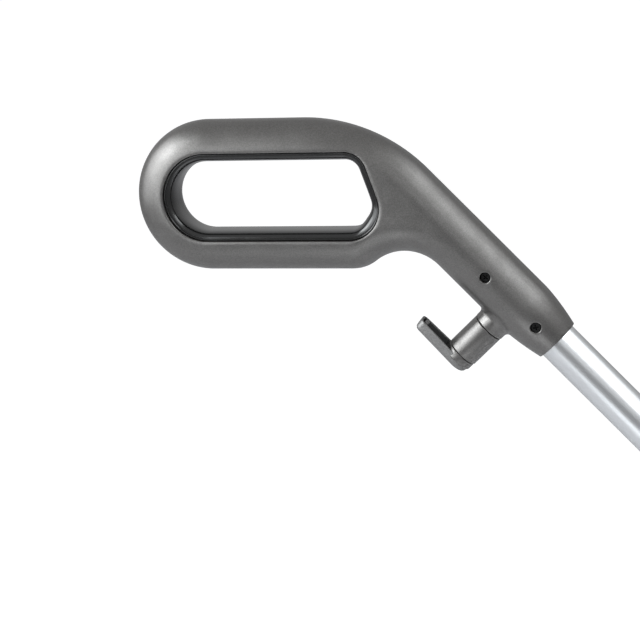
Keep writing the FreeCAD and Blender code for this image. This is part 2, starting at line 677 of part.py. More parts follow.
def make_chassis():
    height = dim.parting - dim.floor_gap
    pan = plate("pan_outer", head_plan(), height, dim.floor_gap)
    hollow = plate("pan_inner", head_plan(dim.wall), height, dim.floor_gap + 3)
    brush_mouth = box("brush_mouth", 54, 273, 8, (102, -136.5, dim.floor_gap - 2))
    roller_mouth = both_sides("roller_mouths", box("roller_mouth", 24, 26, 8, (76, 107, dim.floor_gap - 2)))
    gland_seat = rod("gland_seat", 7, 12, (-dim.head_rear - 3, 40, dim.parting), X_AXIS)
    tub = cut("tub", pan, hollow, brush_mouth, roller_mouth, gland_seat)

    lowest = dim.floor_gap + 1
    ribs = [
        box("throw_lip", 2.5, 278, 16, (99.5, -139, lowest)),
        box("front_wall", 2.5, 278, 20, (156, -139, lowest)),
        both_sides("brush_ends", box("brush_end", 59, 4.5, 34, (99.5, 136.5, lowest))),
        both_sides("roller_ends", box("roller_end", 27, 2.5, 18, (74, 104.5, lowest))),
        both_sides("roller_outer", box("roller_side", 27, 3.5, 18, (74, 133, lowest))),
        both_sides("roller_backs", box("roller_back", 1.6, 30, 18, (74.4, 105, lowest))),
        both_sides("pivot_towers", tower()),
        both_sides("axle_blocks", box("axle_block", 24, 15.6, 34, (-dim.wheel_back - 12, 115.6, lowest))),
        box("shaft_wall", 30, 4, 38, (-dim.motor_back - 15, 126, lowest)),
        box("motor_cradle_a", 40, 4, 16, (-dim.motor_back - 20, 60, lowest)),
        box("motor_cradle_b", 40, 4, 16, (-dim.motor_back - 20, 96, lowest)),
        box("pedal_lug_a", 12, 4.5, 38, (-130, -74.5, lowest)),
        box("pedal_lug_b", 12, 4.5, 38, (-130, -42.5, lowest)),
        box("switch_seat", 30, 26, 3, (-101, 71, lowest)),
    ]
    bosses = []
    ways = []
    for number, (x, y) in enumerate(SCREW_SPOTS):
        bosses.append(rod(f"boss_{number}", 4.5, dim.parting - lowest, (x, y, lowest)))
        ways.append(rod(f"boss_way_{number}", 1.6, 30, (x, y, 5)))
        ways.append(rod(f"boss_recess_{number}", 3.4, 6, (x, y, dim.floor_gap - 3)))
    motor_low = (-dim.motor_back, 50, dim.motor_height)
    ways += [
        rod("brush_journals", 9, 300, (dim.brush_forward, -150, dim.brush_height), Y_AXIS),
        rod("pivot_ways", "pin_radius", 100, (0, -50, dim.pivot_height), Y_AXIS),
        rod("axle_ways", 4, 280, (-dim.wheel_back, -140, dim.wheel_radius), Y_AXIS),
        rod("roller_ways", 2, 274, (dim.roller_forward, -137, dim.roller_radius), Y_AXIS),
        rod("motor_bed", "motor_radius", 60, motor_low, Y_AXIS),
        rod("shaft_seat", 7, 20, (-dim.motor_back, 120, dim.motor_height), Y_AXIS),
        rod("pedal_pin_way", 2, 40, (-124, -76, 44), Y_AXIS),
    ]
    form = fuse("chassis_form", tub, *ribs, *bosses)
    piece("chassis", cut("chassis_cut", form, *ways, refine=False), HEAD)


def tower():
    """One of the two posts inside the hump that hold the handle's pivot pins."""
    height = dim.pivot_height - dim.floor_gap - 1
    post = box("tower_post", 28, 8, height, (-14, 24, dim.floor_gap + 1))
    top = rod("tower_top", 14, 8, (0, 24, dim.pivot_height), Y_AXIS)
    return fuse("tower", post, top)


def make_bumper():
    band = plate("bumper_outer", head_plan(-dim.bumper_depth), 18, 15)
    inside = plate("bumper_inner", head_plan(), 20, 14)
    front = box("bumper_front", 100, 400, 40, (92, -200, 0))
    ring = common("bumper_ring", cut("bumper_band", band, inside), front)

    def long_outer(edge):
        edge_box = edge.BoundBox
        outside = edge_box.YMax > dim.head_half_width + 3 or edge_box.YMin < -dim.head_half_width - 3
        outside = outside or edge_box.XMax > dim.head_front + 3
        return outside and edge_box.ZLength < 1e-6 and edge_box.DiagonalLength > 9

    piece("bumper", fillet("bumper_soft", ring, 2.5, long_outer), HEAD)


def make_tray():
    length = "tray_front - tray_rear"
    low = dim.floor_gap + 3.2
    outer = box("tray_outer", length, "2 * tray_half_width", 35.8, (dim.tray_rear, -dim.tray_half_width, low))
    inside = box("tray_inside", "tray_front - tray_rear - 2 * tray_wall", "2 * (tray_half_width - tray_wall)",
                 40, (dim.tray_rear + dim.tray_wall, -dim.tray_half_width + dim.tray_wall, low + dim.tray_wall))
    throat = box("tray_throat", 8, "2 * (tray_half_width - tray_wall)", 40,
                 (dim.tray_front - 4, -dim.tray_half_width + dim.tray_wall, low + 14))
    tabs = both_sides("tray_tabs", box("tray_tab", 20, 6, 2, (dim.tray_rear + 9, dim.tray_half_width, 46)))
    piece("dirt_tray", cut("tray", fuse("tray_form", outer, tabs), inside, throat), HEAD)

    rear, front = dim.tray_rear - 1.8, dim.tray_rear + 40.8
    lid_corners = [(rear, -139.1, 3), (front, -139.1, 3), (front, 139.1, 3), (rear, 139.1, 3)]
    lid = plate("lid_plate", lid_corners, 4.4, 48)
    pinch = [(rear + 10, -34, 8), (front - 10, -34, 8), (front - 10, 34, 8), (rear + 10, 34, 8)]
    scoop = plate("lid_scoop", pinch, 3, 50.2)
    rib = box("lid_rib", 3, 56, 2.2, ((rear + front) / 2 - 1.5, -28, 50.2))
    piece("tray_window", fuse("window", cut("window_cut", lid, scoop), rib), HEAD)


# ---------------------------------------------------------------- head: brush, belt and motor

def make_brush():
    forward, height, half = dim.brush_forward, dim.brush_height, dim.brush_half_length
    barrel = rod("brush_barrel", "brush_core", "2 * brush_half_length", (forward, -half, height), Y_AXIS)
    shaft = rod("brush_shaft", 4, 304, (forward, -146, height), Y_AXIS)
    piece("brush_core", fuse("core", barrel, shaft), HEAD)

    tufts = []
    rows = 4
    count = int(dim.tufts_in_row)
    pitch = 2 * (half - 6) / (count - 1)
    for number in range(rows * count):
        step = number // rows
        angle = 2 * math.pi * (number % rows) / rows + math.pi * step / count
        outward = Vector(math.cos(angle), 0, math.sin(angle))
        foot = Vector(forward, -half + 6 + pitch * step, height) + outward * (dim.brush_core - 1)
        tufts.append(cone(f"tuft_{number}", 1.6, 2.3, "brush_tip - brush_core + 1", foot, outward))
    piece("brush_tufts", group("tufts", *tufts), HEAD)

    ring = rod("brush_bearing_ring", 9, 4.5, (forward, 136.5, height), Y_AXIS)
    hole = rod("brush_bearing_hole", "4 + running_gap", 20, (forward, 130, height), Y_AXIS)
    keep_both("brush_bearings", cut("brush_bearing", ring, hole), HEAD)

    wheel = pulley("brush_wheel", dim.brush_pulley, 4, (forward, height))
    piece("brush_pulley", wheel, HEAD)


def pulley(name, radius, bore, centre):
    """Flanged flat-belt pulley on the belt's plane; the bore is the shaft's own size."""
    profile = [
        (bore, -5.5, 0),
        (radius + 1.5, -5.5, 0.4),
        (radius + 1.5, -4.6, 0.4),
        (radius, -4.6, 0),
        (radius, 4.6, 0),
        (radius + 1.5, 4.6, 0.4),
        (radius + 1.5, 5.5, 0.4),
        (bore, 5.5, 0),
    ]
    place = Placement(Vector(centre[0], dim.belt_plane, centre[1]), Rotation(Z_AXIS, Y_AXIS))
    return turned(name, profile, place)


def belt_loop(name, extra, width):
    """Prism on the outline of an open belt, a given distance outside both pulleys."""
    small = Vector(-dim.motor_back, dim.motor_height, 0)
    large = Vector(dim.brush_forward, dim.brush_height, 0)
    line = large - small
    tilt = math.acos((dim.motor_pulley - dim.brush_pulley) / line.Length)
    heading = math.atan2(line.y, line.x)
    ends = []
    for centre, radius in ((large, dim.brush_pulley + extra), (small, dim.motor_pulley + extra)):
        over = centre + Vector(math.cos(heading + tilt), math.sin(heading + tilt), 0) * radius
        under = centre + Vector(math.cos(heading - tilt), math.sin(heading - tilt), 0) * radius
        ends.append((over, under))
    (large_over, large_under), (small_over, small_under) = ends
    far = large + line.normalize() * (dim.brush_pulley + extra)
    near = small - line * (dim.motor_pulley + extra)
    geometry = [
        Part.Arc(large_under, far, large_over),
        Part.LineSegment(large_over, small_over),
        Part.Arc(small_over, near, small_under),
        Part.LineSegment(small_under, large_under),
    ]
    place = Placement(Vector(0, dim.belt_plane, 0), UPRIGHT)
    return extrude(name, geometry, width, place, symmetric=True)


def make_drive():
    outer = belt_loop("belt_outer", dim.belt_gap + dim.belt_thickness, 8.4)
    inner = belt_loop("belt_inner", dim.belt_gap, 10)
    piece("drive_belt", cut("belt", outer, inner), HEAD)

    back, height = -dim.motor_back, dim.motor_height
    can = rod("can_form", "motor_radius", 56, (back, 54, height), Y_AXIS)
    can_inside = rod("can_inside", "motor_radius - 1.2", 60, (back, 55.2, height), Y_AXIS)
    piece("motor_can", cut("can", can, can_inside), HEAD)
    bell = rod("bell_form", "motor_radius", 5, (back, 110, height), Y_AXIS)
    bell_hole = rod("bell_hole", "2.5 + running_gap", 20, (back, 100, height), Y_AXIS)
    piece("motor_end_bell", cut("bell", bell, bell_hole), HEAD)
    stack = rod("armature", 12, 34, (back, 62, height), Y_AXIS)
    collector = rod("collector", 7, 8, (back, 99, height), Y_AXIS)
    shaft = rod("motor_shaft", 2.5, 98.5, (back, 58, height), Y_AXIS)
    piece("motor_rotor", fuse("rotor", stack, collector, shaft), HEAD)
    piece("motor_pulley", pulley("motor_wheel", dim.motor_pulley, 2.5, (back, height)), HEAD)
    ring = rod("shaft_bearing_ring", 7, 4, (back, 126, height), Y_AXIS)
    hole = rod("shaft_bearing_hole", "2.5 + running_gap", 20, (back, 120, height), Y_AXIS)
    piece("shaft_bearing", cut("shaft_bush", ring, hole), HEAD)
    magnets = rod("magnet_ring", "motor_radius - 1.2", 34, (back, 62, height), Y_AXIS)
    magnet_bore = rod("magnet_bore", 12.6, 60, (back, 50, height), Y_AXIS)
    piece("motor_magnets", cut("magnets", magnets, magnet_bore), HEAD)


# ---------------------------------------------------------------- head: wheels, pedal and switch

def make_wheels():
    wide = 18.0
    middle = 148.5
    hub_profile = [
        (4.06, -8, 0),
        (8, -8, 1),
        (8, -5, 1),
        (18, -3, 2),
        (18.5, -7.5, 0.8),
        (23, -7.5, 0.8),
        (23, 7.5, 0.8),
        (18.5, 7.5, 0.8),
        (18, 3, 2),
        (8, 6, 1),
        (8, 9, 1),
        (4.06, 9, 0),
    ]
    tyre_profile = [
        (23, -wide / 2, 1),
        (dim.wheel_radius, -wide / 2, 4),
        (dim.wheel_radius, wide / 2, 4),
        (23, wide / 2, 1),
    ]
    for side, sign in (("right", -1), ("left", 1)):
        centre = Vector(-dim.wheel_back, sign * middle, dim.wheel_radius)
        place = Placement(centre, Rotation(Z_AXIS, Y_AXIS * sign))
        piece(f"wheel_hub_{side}", turned(f"hub_{side}", hub_profile, place), HEAD)
        piece(f"wheel_tyre_{side}", turned(f"tyre_{side}", tyre_profile, place), HEAD)
        roller_centre = (dim.roller_forward, sign * 120 - 11, dim.roller_radius)
        drum = rod(f"roller_drum_{side}", "roller_radius", 22, roller_centre, Y_AXIS)
        bore = rod(f"roller_bore_{side}", "2 + running_gap", 60, (dim.roller_forward, sign * 120 - 30,
                                                                dim.roller_radius), Y_AXIS)
        rounded_drum = cut(f"roller_{side}", drum, bore)
        piece(f"front_roller_{side}", rounded_drum, HEAD)
    axle = rod("axle_shank", 4, 44, (-dim.wheel_back, 115.6, dim.wheel_radius), Y_AXIS)
    axle_head = rod("axle_head", 7, 2, (-dim.wheel_back, 158.4, dim.wheel_radius), Y_AXIS)
    keep_both("wheel_axles", fuse("axle", axle, axle_head), HEAD)
    pin = rod("roller_pin_shank", 2, 30, (dim.roller_forward, 105, dim.roller_radius), Y_AXIS)
    keep_both("roller_pins", pin, HEAD)


def make_pedal():
    """Foot pedal that frees the handle: hinged at the tail, pad above the deck, nose under the quadrant."""
    lever = box("lever_bar", 122, 12, 5, (-121, -57, 40.5))
    eye = rod("lever_eye", 4.5, 25, (-124, -70, 44), Y_AXIS)
    web = box("lever_web", 10, 25, 5, (-124, -70, 40.5))
    pad_corners = [(-113, -75, 3.5), (-73, -75, 3.5), (-73, -45, 3.5), (-113, -45, 3.5)]
    pad = plate("pad", pad_corners, 14, 43)
    nose = box("lever_nose", 6, 3.4, 5, (-3, -51.2, 42.5))
    neck = box("lever_tip", 12, 12, 4, (-6, -57, 40.5))
    ribs = [box(f"pad_rib_{number}", 2, 24, 1, (-107 + 6 * number, -72, 57)) for number in range(5)]
    bore = rod("lever_bore", "2 + running_gap", 40, (-124, -75, 44), Y_AXIS)
    trough = box("pad_trough", 34, 24, 9, (-110, -72, 38.2))
    body = fuse("lever_form", eye, web, pad, lever, nose, neck, *ribs)
    piece("release_pedal", cut("pedal", body, bore, trough), HEAD)
    pin = rod("pedal_pin_shank", 2, 36.5, (-124, -74.5, 44), Y_AXIS)
    piece("pedal_pin", pin, HEAD)
    place = Placement(Vector(-98, -64.5, 12.7), Rotation())
    piece("pedal_spring", coil("pedal_coil", 5, 0.6, 5.6, 6, place), HEAD)


def make_switch():
    x, y = -86, 84
    low = dim.floor_gap + 4
    case = box("switch_case", 24, 20, 14, (x - 12, y - 10, low))
    well = rod("switch_well", 4.4, 14, (x, y, low + 4))
    piece("switch_body", cut("switch", case, well), HEAD)
    cap_profile = [(0, 44, 0), (12.9, 44, 0.5), (12.9, 58.4, 3), (0, 58.4, 0)]
    cap = turned("button_cap", cap_profile, Placement(Vector(x, y, 0), Rotation()))
    stem = rod("button_stem", 2.4, 22, (x, y, 23))
    ring = rod("button_ring", 5.2, 2, (x, y, 33))
    piece("power_button", fuse("button", cap, stem, ring), HEAD)
    place = Placement(Vector(x, y, low + 14.7), Rotation())
    piece("button_spring", coil("button_coil", 4.2, 0.45, 1.6, 2.8, place), HEAD)


def make_gland():
    centre = (40, dim.parting)
    rear = -dim.head_rear
    collar = rod("gland_collar", 10, 4, (rear - 4, *centre), X_AXIS)
    neck = rod("gland_neck", 7, 2.5, (rear, *centre), X_AXIS)
    inner = rod("gland_inner", 9, 3, (rear + 2.5, *centre), X_AXIS)
    bore = rod("gland_bore", 3.75, 30, (rear - 10, *centre), X_AXIS)
    piece("cord_gland", cut("gland", fuse("gland_form", collar, neck, inner), bore), HEAD)


def make_base_screws():
    screws = []
    for number, (x, y) in enumerate(SCREW_SPOTS):
        shank = rod(f"base_shank_{number}", 1.3, 26, (x, y, dim.floor_gap + 3))
        head = rod(f"base_head_{number}", 3.2, 2.2, (x, y, dim.floor_gap + 0.8))
        screws.append(fuse(f"base_screw_{number}", shank, head))
    piece("base_screws", group("base_screw_set", *screws), HEAD)


make_grip()
make_tube()
make_cord_hook()
make_lower_hook()
make_fork()
make_top_cover()
make_chassis()
make_bumper()
make_tray()
make_brush()
make_drive()
make_wheels()
make_pedal()
make_switch()
make_gland()
make_base_screws()


# ---------------------------------------------------------------- check and write

def check_and_write():
    doc.recompute()
    for item in doc.Objects:
        if "Invalid" in item.State or "Error" in item.State:
            raise RuntimeError(f"{item.Name} ({item.Label}) failed: {item.State}")
    os.makedirs("parts", exist_ok=True)
    for sub_part in pieces:
        shape = sub_part.Shape
        if shape.isNull() or not shape.isValid() or shape.Volume <= 0:
            raise RuntimeError(f"{sub_part.Label} has no valid solid")
        shape.exportStep(f"parts/{sub_part.Label}.step")


check_and_write()
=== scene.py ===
import json
import math
import random

import bmesh
import bpy
import numpy as np
from mathutils import Matrix, Vector
from mathutils.geometry import delaunay_2d_cdt


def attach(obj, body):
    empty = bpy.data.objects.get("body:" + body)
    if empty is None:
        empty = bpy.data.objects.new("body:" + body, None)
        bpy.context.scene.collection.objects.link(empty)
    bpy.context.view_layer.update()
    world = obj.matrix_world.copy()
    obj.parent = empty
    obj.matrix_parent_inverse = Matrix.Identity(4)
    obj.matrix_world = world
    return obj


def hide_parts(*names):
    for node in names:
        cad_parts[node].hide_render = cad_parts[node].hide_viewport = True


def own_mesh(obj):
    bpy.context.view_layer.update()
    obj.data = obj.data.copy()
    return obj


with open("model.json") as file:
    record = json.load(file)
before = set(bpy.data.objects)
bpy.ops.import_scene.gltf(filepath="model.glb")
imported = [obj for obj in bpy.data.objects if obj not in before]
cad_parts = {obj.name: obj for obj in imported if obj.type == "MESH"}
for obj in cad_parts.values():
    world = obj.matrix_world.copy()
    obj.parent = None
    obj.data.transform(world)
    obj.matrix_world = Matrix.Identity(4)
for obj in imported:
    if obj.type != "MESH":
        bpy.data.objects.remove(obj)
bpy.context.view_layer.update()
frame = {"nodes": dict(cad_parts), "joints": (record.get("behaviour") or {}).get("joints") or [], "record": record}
nodes = frame["nodes"]
joints = {joint["name"]: joint for joint in frame["joints"]}

# Mesh code below works in millimetres; MM turns them into the scene's metres.
MM = 0.001

# The handle's axes at rest: ALONG the tube from the pivot to the grip, ACROSS it upwards and forwards.
LEAN = math.radians(46)
ALONG = Vector((-math.cos(LEAN), 0, math.sin(LEAN)))
ACROSS = Vector((math.sin(LEAN), 0, math.cos(LEAN)))
SIDE = Vector((0, 1, 0))
PIVOT = Vector(joints["handle_tilt"]["pos_m"])
SOCKET = PIVOT + ALONG * 0.900  # middle of the grip's socket end face


# ---- mesh helpers

def place(origin, x_axis, y_axis, z_axis):
    """Matrix that carries millimetres in a local frame to metres in the scene."""
    turn = Matrix((x_axis, y_axis, z_axis)).transposed().to_4x4()
    return Matrix.Translation(origin) @ turn @ Matrix.Scale(MM, 4)


GRIP = place(SOCKET, Vector((1, 0, 0)), Vector((0, 0, 1)), SIDE)  # local x, y in the midplane
NECK = place(SOCKET, ACROSS, SIDE, ALONG)  # local z along the tube
TUBE = place(PIVOT, ACROSS, SIDE, ALONG)


def link_object(name, data):
    """New object in the scene."""
    thing = bpy.data.objects.new(name, data)
    bpy.context.scene.collection.objects.link(thing)
    return thing


def make_piece(name, vertices, faces, matrix, material, body, sharp=40.0, weld=0.002):
    """Object from raw mesh data, welded, smooth shaded with creases, riding on a body."""
    mesh = bpy.data.meshes.new(name)
    mesh.from_pydata([tuple(v) for v in vertices], [], faces)
    work = bmesh.new()
    work.from_mesh(mesh)
    bmesh.ops.remove_doubles(work, verts=work.verts, dist=weld)
    loose = [v for v in work.verts if not v.link_faces]
    bmesh.ops.delete(work, geom=loose, context="VERTS")
    bmesh.ops.recalc_face_normals(work, faces=work.faces)
    work.to_mesh(mesh)
    work.free()
    mesh.transform(matrix)
    mesh.update()
    piece = link_object(name, mesh)
    mesh.materials.append(material)
    mesh.shade_smooth()
    mesh.set_sharp_from_angle(angle=math.radians(sharp))
    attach(piece, body)
    return piece


def stitch(rings, closed=True):
    """Vertices and quads of a skin through rings that all have the same number of points."""
    count = len(rings[0])
    vertices = [point for ring in rings for point in ring]
    faces = []
    steps = count if closed else count - 1
    for level in range(len(rings) - 1):
        low, high = level * count, (level + 1) * count
        for index in range(steps):
            after = (index + 1) % count
            faces.append((low + index, low + after, high + after, high + index))
    return vertices, faces


def turned(stations, segments, shape):
    """Skin turned about local z through (radius, height) stations, placed by shape(radius, height, angle)."""
    angles = [2 * math.pi * step / segments for step in range(segments)]
    return stitch([[shape(radius, height, angle) for angle in angles] for radius, height in stations])


def lathe(profile, segments=96):
    """Round skin about local z; profile is (radius, height) points, closed where radius is 0."""
    return turned(profile, segments, lambda radius, height, angle: (
        radius * math.cos(angle), radius * math.sin(angle), height))


def arc_points(centre, radius, start, end, steps):
    """Points on an arc, angles in degrees."""
    angles = [math.radians(start + (end - start) * step / steps) for step in range(steps + 1)]
    return [(centre[0] + radius * math.cos(a), centre[1] + radius * math.sin(a)) for a in angles]


class Outline:
    """Closed outline of lines and tangent arcs through (x, y, corner radius) points."""

    def __init__(self, corners):
        self.segments = []
        starts, ends, arcs = [], [], []
        for index, (x, y, radius) in enumerate(corners):
            here = Vector((x, y))
            before = (Vector(corners[index - 1][:2]) - here).normalized()
            after = (Vector(corners[(index + 1) % len(corners)][:2]) - here).normalized()
            half = before.angle(after) / 2
            reach = radius / math.tan(half)
            centre = here + (before + after).normalized() * (radius / math.sin(half))
            starts.append(here + before * reach)
            ends.append(here + after * reach)
            arcs.append((centre, radius))
        for index in range(len(corners)):
            centre, radius = arcs[index]
            if radius > 0:
                first = math.atan2(*(starts[index] - centre).yx)
                last = math.atan2(*(ends[index] - centre).yx)
                turn = (last - first + math.pi) % (2 * math.pi) - math.pi
                self.segments.append(("arc", centre, radius, first, turn))
            following = starts[(index + 1) % len(corners)]
            if (following - ends[index]).length > 1e-4:
                self.segments.append(("line", ends[index], following))

    def sample(self, step):
        """Points spaced about step apart, each with its unit normal to the left of travel."""
        points, normals = [], []
        for segment in self.segments:
            if segment[0] == "line":
                _, first, last = segment
                count = max(1, round((last - first).length / step))
                heading = (last - first).normalized()
                for index in range(count):
                    points.append(first.lerp(last, index / count))
                    normals.append(Vector((-heading.y, heading.x)))
            else:
                _, centre, radius, first, turn = segment
                count = max(4, round(abs(turn) * radius / step))
                for index in range(count):
                    angle = first + turn * index / count
                    outward = Vector((math.cos(angle), math.sin(angle)))
                    points.append(centre + outward * radius)
                    normals.append(-outward if turn > 0 else outward)
        return points, normals

    def distance(self, x, y):
        """Distance of each point of two arrays from the outline."""
        best = np.full(x.shape, 1e9)
        for segment in self.segments:
            if segment[0] == "line":
                _, first, last = segment
                run = last - first
                share = ((x - first.x) * run.x + (y - first.y) * run.y) / run.length_squared
                share = np.clip(share, 0, 1)
                gap = np.hypot(x - first.x - share * run.x, y - first.y - share * run.y)
            else:
                _, centre, radius, first, turn = segment
                angle = np.arctan2(y - centre.y, x - centre.x)
                middle = first + turn / 2
                off = np.abs((angle - middle + np.pi) % (2 * np.pi) - np.pi)
                gap = np.abs(np.hypot(x - centre.x, y - centre.y) - radius)
                gap = np.where(off <= abs(turn) / 2 + 1e-6, gap, 1e9)
            best = np.minimum(best, gap)
        return best


def ramp(value, low, high):
    """0 below low, 1 above high, and a smooth curve between."""
    share = np.clip((value - low) / (high - low), 0, 1)
    return share * share * (3 - 2 * share)


def parity_inside(x, y, loops):
    """True where a point is inside an odd number of the closed loops."""
    inside = np.zeros(x.shape, bool)
    for loop in loops:
        for (x0, y0), (x1, y1) in zip(loop, loop[1:] + loop[:1]):
            if y0 == y1:
                continue
            crosses = (y0 > y) != (y1 > y)
            inside ^= crosses & (x < x0 + (y - y0) * (x1 - x0) / (y1 - y0))
    return inside


def flat_fill(loops, extra=(), tolerance=1e-6):
    """Points and triangles that fill the region between closed plane loops, by way of extra points."""
    points, edges = [], []
    for loop in loops:
        first = len(points)
        points += [Vector(p) for p in loop]
        edges += [(first + i, first + (i + 1) % len(loop)) for i in range(len(loop))]
    points += [Vector(p) for p in extra]
    out_points, _, triangles, _, _, _ = delaunay_2d_cdt(points, edges, [], 0, tolerance)
    centres = np.array([[sum(out_points[i].x for i in t) / 3, sum(out_points[i].y for i in t) / 3]
                        for t in triangles])
    inside = parity_inside(centres[:, 0], centres[:, 1], loops)
    return out_points, [t for t, wanted in zip(triangles, inside) if wanted]


# ---- grip: outlines and form

NECK_RADIUS = 16.2
SOCKET_RADIUS = 12.6
TAPER = 25.0
THROAT_Y = 23.0
LOOP = {"back": 186.0, "height": 80.0, "radius": 41.0}
RIM = {"radius": 24.2, "toe": 17.5, "heel": 13.0, "front": 92.0, "slope": 71.1}
LOOP_HALF = 14.5  # half thickness of the loop
LOOP_EDGE = 17.2  # how far the rounding of its outer edge reaches in
NECK_END, LOOP_START = 66.0, 150.0  # along: the neck's round ends, the loop's form is full
EDGE_START, EDGE_FULL = 70.0, 135.0  # along: the edge rounding starts to grow, and is full
RIM_DIP, RIM_EASE = 0.22, 1.3  # easing down to the rim of the finger opening, and its reach outwards
LINER_HALF = 12.9  # half thickness of the liner at its bead
LINER_DEPTH = 5.5
TOE_FILL, TOE_SPREAD = 1.6, 10.0  # how much further the liner stands in at the toe
SCREWS_ALONG = (13.5, 51.0)
SCREW_HOLE = 2.85
HOLE_EASE = 0.55  # rounding of the screw holes' mouths
SCREW_LEVEL = 11.8  # underside of the screws' heads, off the midplane
SCREW_SEAT = 11.4  # floor of the screw holes, off the midplane
PARTING_GAP = 0.09  # half of the gap between the two shells
UP = Vector((math.sin(LEAN), math.cos(LEAN)))  # across and along, in the grip's plane
BACK = Vector((-math.cos(LEAN), math.sin(LEAN)))


def grip_outline():
    """Outer outline of loop and neck, anticlockwise; the neck's lines run on past the socket."""
    low = LOOP["height"] - LOOP["radius"]
    high = LOOP["height"] + LOOP["radius"]
    back = -LOOP["back"] - LOOP["radius"]
    chin_radius, throat_radius, shoulder_radius = 21.0, 25.6, 93.0
    neck_low, neck_high = UP * -NECK_RADIUS, UP * NECK_RADIUS
    shoulder = neck_high + BACK * ((high - neck_high.y) / BACK.y)
    throat = Vector(((-(NECK_RADIUS + throat_radius) - THROAT_Y * UP.y) / UP.x, THROAT_Y))
    rise = low + chin_radius - THROAT_Y
    spread = chin_radius + throat_radius
    to_chin = Vector((-math.sqrt(spread**2 - rise**2), rise)) / spread
    meeting = throat + to_chin * throat_radius
    slope = Vector((to_chin.y, -to_chin.x))
    chin_corner = meeting - slope * ((meeting.y - low) / slope.y)
    throat_corner = meeting + slope * ((-NECK_RADIUS - meeting.dot(UP)) / slope.dot(UP))
    return Outline([
        (back, low, LOOP["radius"]),
        (*chin_corner, chin_radius),
        (*throat_corner, throat_radius),
        (*neck_low, 0),
        (*neck_high, 0),
        (*shoulder, shoulder_radius),
        (back, high, LOOP["radius"]),
    ])


def rim_outline():
    """Rim of the finger opening in the shells, anticlockwise."""
    low, high = LOOP["height"] - RIM["radius"], LOOP["height"] + RIM["radius"]
    back = -LOOP["back"] - RIM["radius"]
    lean = math.tan(math.radians(RIM["slope"]))
    middle = LOOP["height"]
    return Outline([
        (back, low, RIM["radius"]),
        (-RIM["front"] - (low - middle) / lean, low, RIM["toe"]),
        (-RIM["front"] - (high - middle) / lean, high, RIM["heel"]),
        (back, high, RIM["radius"]),
    ])


OUTER, INNER = grip_outline(), rim_outline()


def neck_half(along):
    """Neck radius at a distance along from the socket's end face, tapering to the socket."""
    left = np.clip(1 - along / TAPER, 0, 1)
    return NECK_RADIUS - (NECK_RADIUS - SOCKET_RADIUS) * left**1.6


def edge_reach(along):
    """How far the rounding of the outer edge reaches in, at a distance along from the socket."""
    return NECK_RADIUS + (LOOP_EDGE - NECK_RADIUS) * ramp(along, EDGE_START, EDGE_FULL)


def half_thickness(x, y):
    """Half thickness of the grip's form at points of its midplane."""
    x, y = np.asarray(x, float), np.asarray(y, float)
    along = x * BACK.x + y * BACK.y
    across = x * UP.x + y * UP.y
    # The test keeps the loop's far side, which also lies beyond the neck, out of the neck's rule.
    in_neck = (along < NECK_END) & (np.abs(across) < NECK_RADIUS + 1)
    from_edge = np.where(in_neck, neck_half(along) - np.abs(across), OUTER.distance(x, y))
    full = NECK_RADIUS + (LOOP_HALF - NECK_RADIUS) * ramp(along, NECK_END, LOOP_START)
    full = np.where(in_neck, neck_half(along), full)
    reach = np.where(in_neck, full, edge_reach(along))
    share = 1 - np.clip(from_edge / reach, 0, 1)
    rise = full * np.sqrt(np.clip(1 - share * share, 0, 1))
    ease = 1 - np.clip(INNER.distance(x, y) / RIM_EASE, 0, 1)
    return rise - RIM_DIP * ease**2


def neck_point(along, across):
    return BACK * along + UP * across


def edge_rows():
    """The outline's points and inward directions from the upper side of the neck's end round the loop
    to its lower side, and the stations along the neck from the socket."""
    points, normals = OUTER.sample(1.3)
    along = [p.dot(BACK) for p in points]
    across = [p.dot(UP) for p in points]
    skip = {i for i in range(len(points)) if along[i] < NECK_END and abs(across[i]) <= NECK_RADIUS + 0.01}
    # Outline order: start just after the upper neck line, round the loop, to the lower neck line.
    count = len(points)
    kept = [i for i in range(count) if i not in skip]
    first = next(i for i in kept if (i - 1) % count in skip)
    order = [(first + step) % count for step in range(count) if (first + step) % count not in skip]
    loop = [(points[i], normals[i]) for i in order]
    steps = 50
    return loop, [NECK_END * step / steps for step in range(steps + 1)]


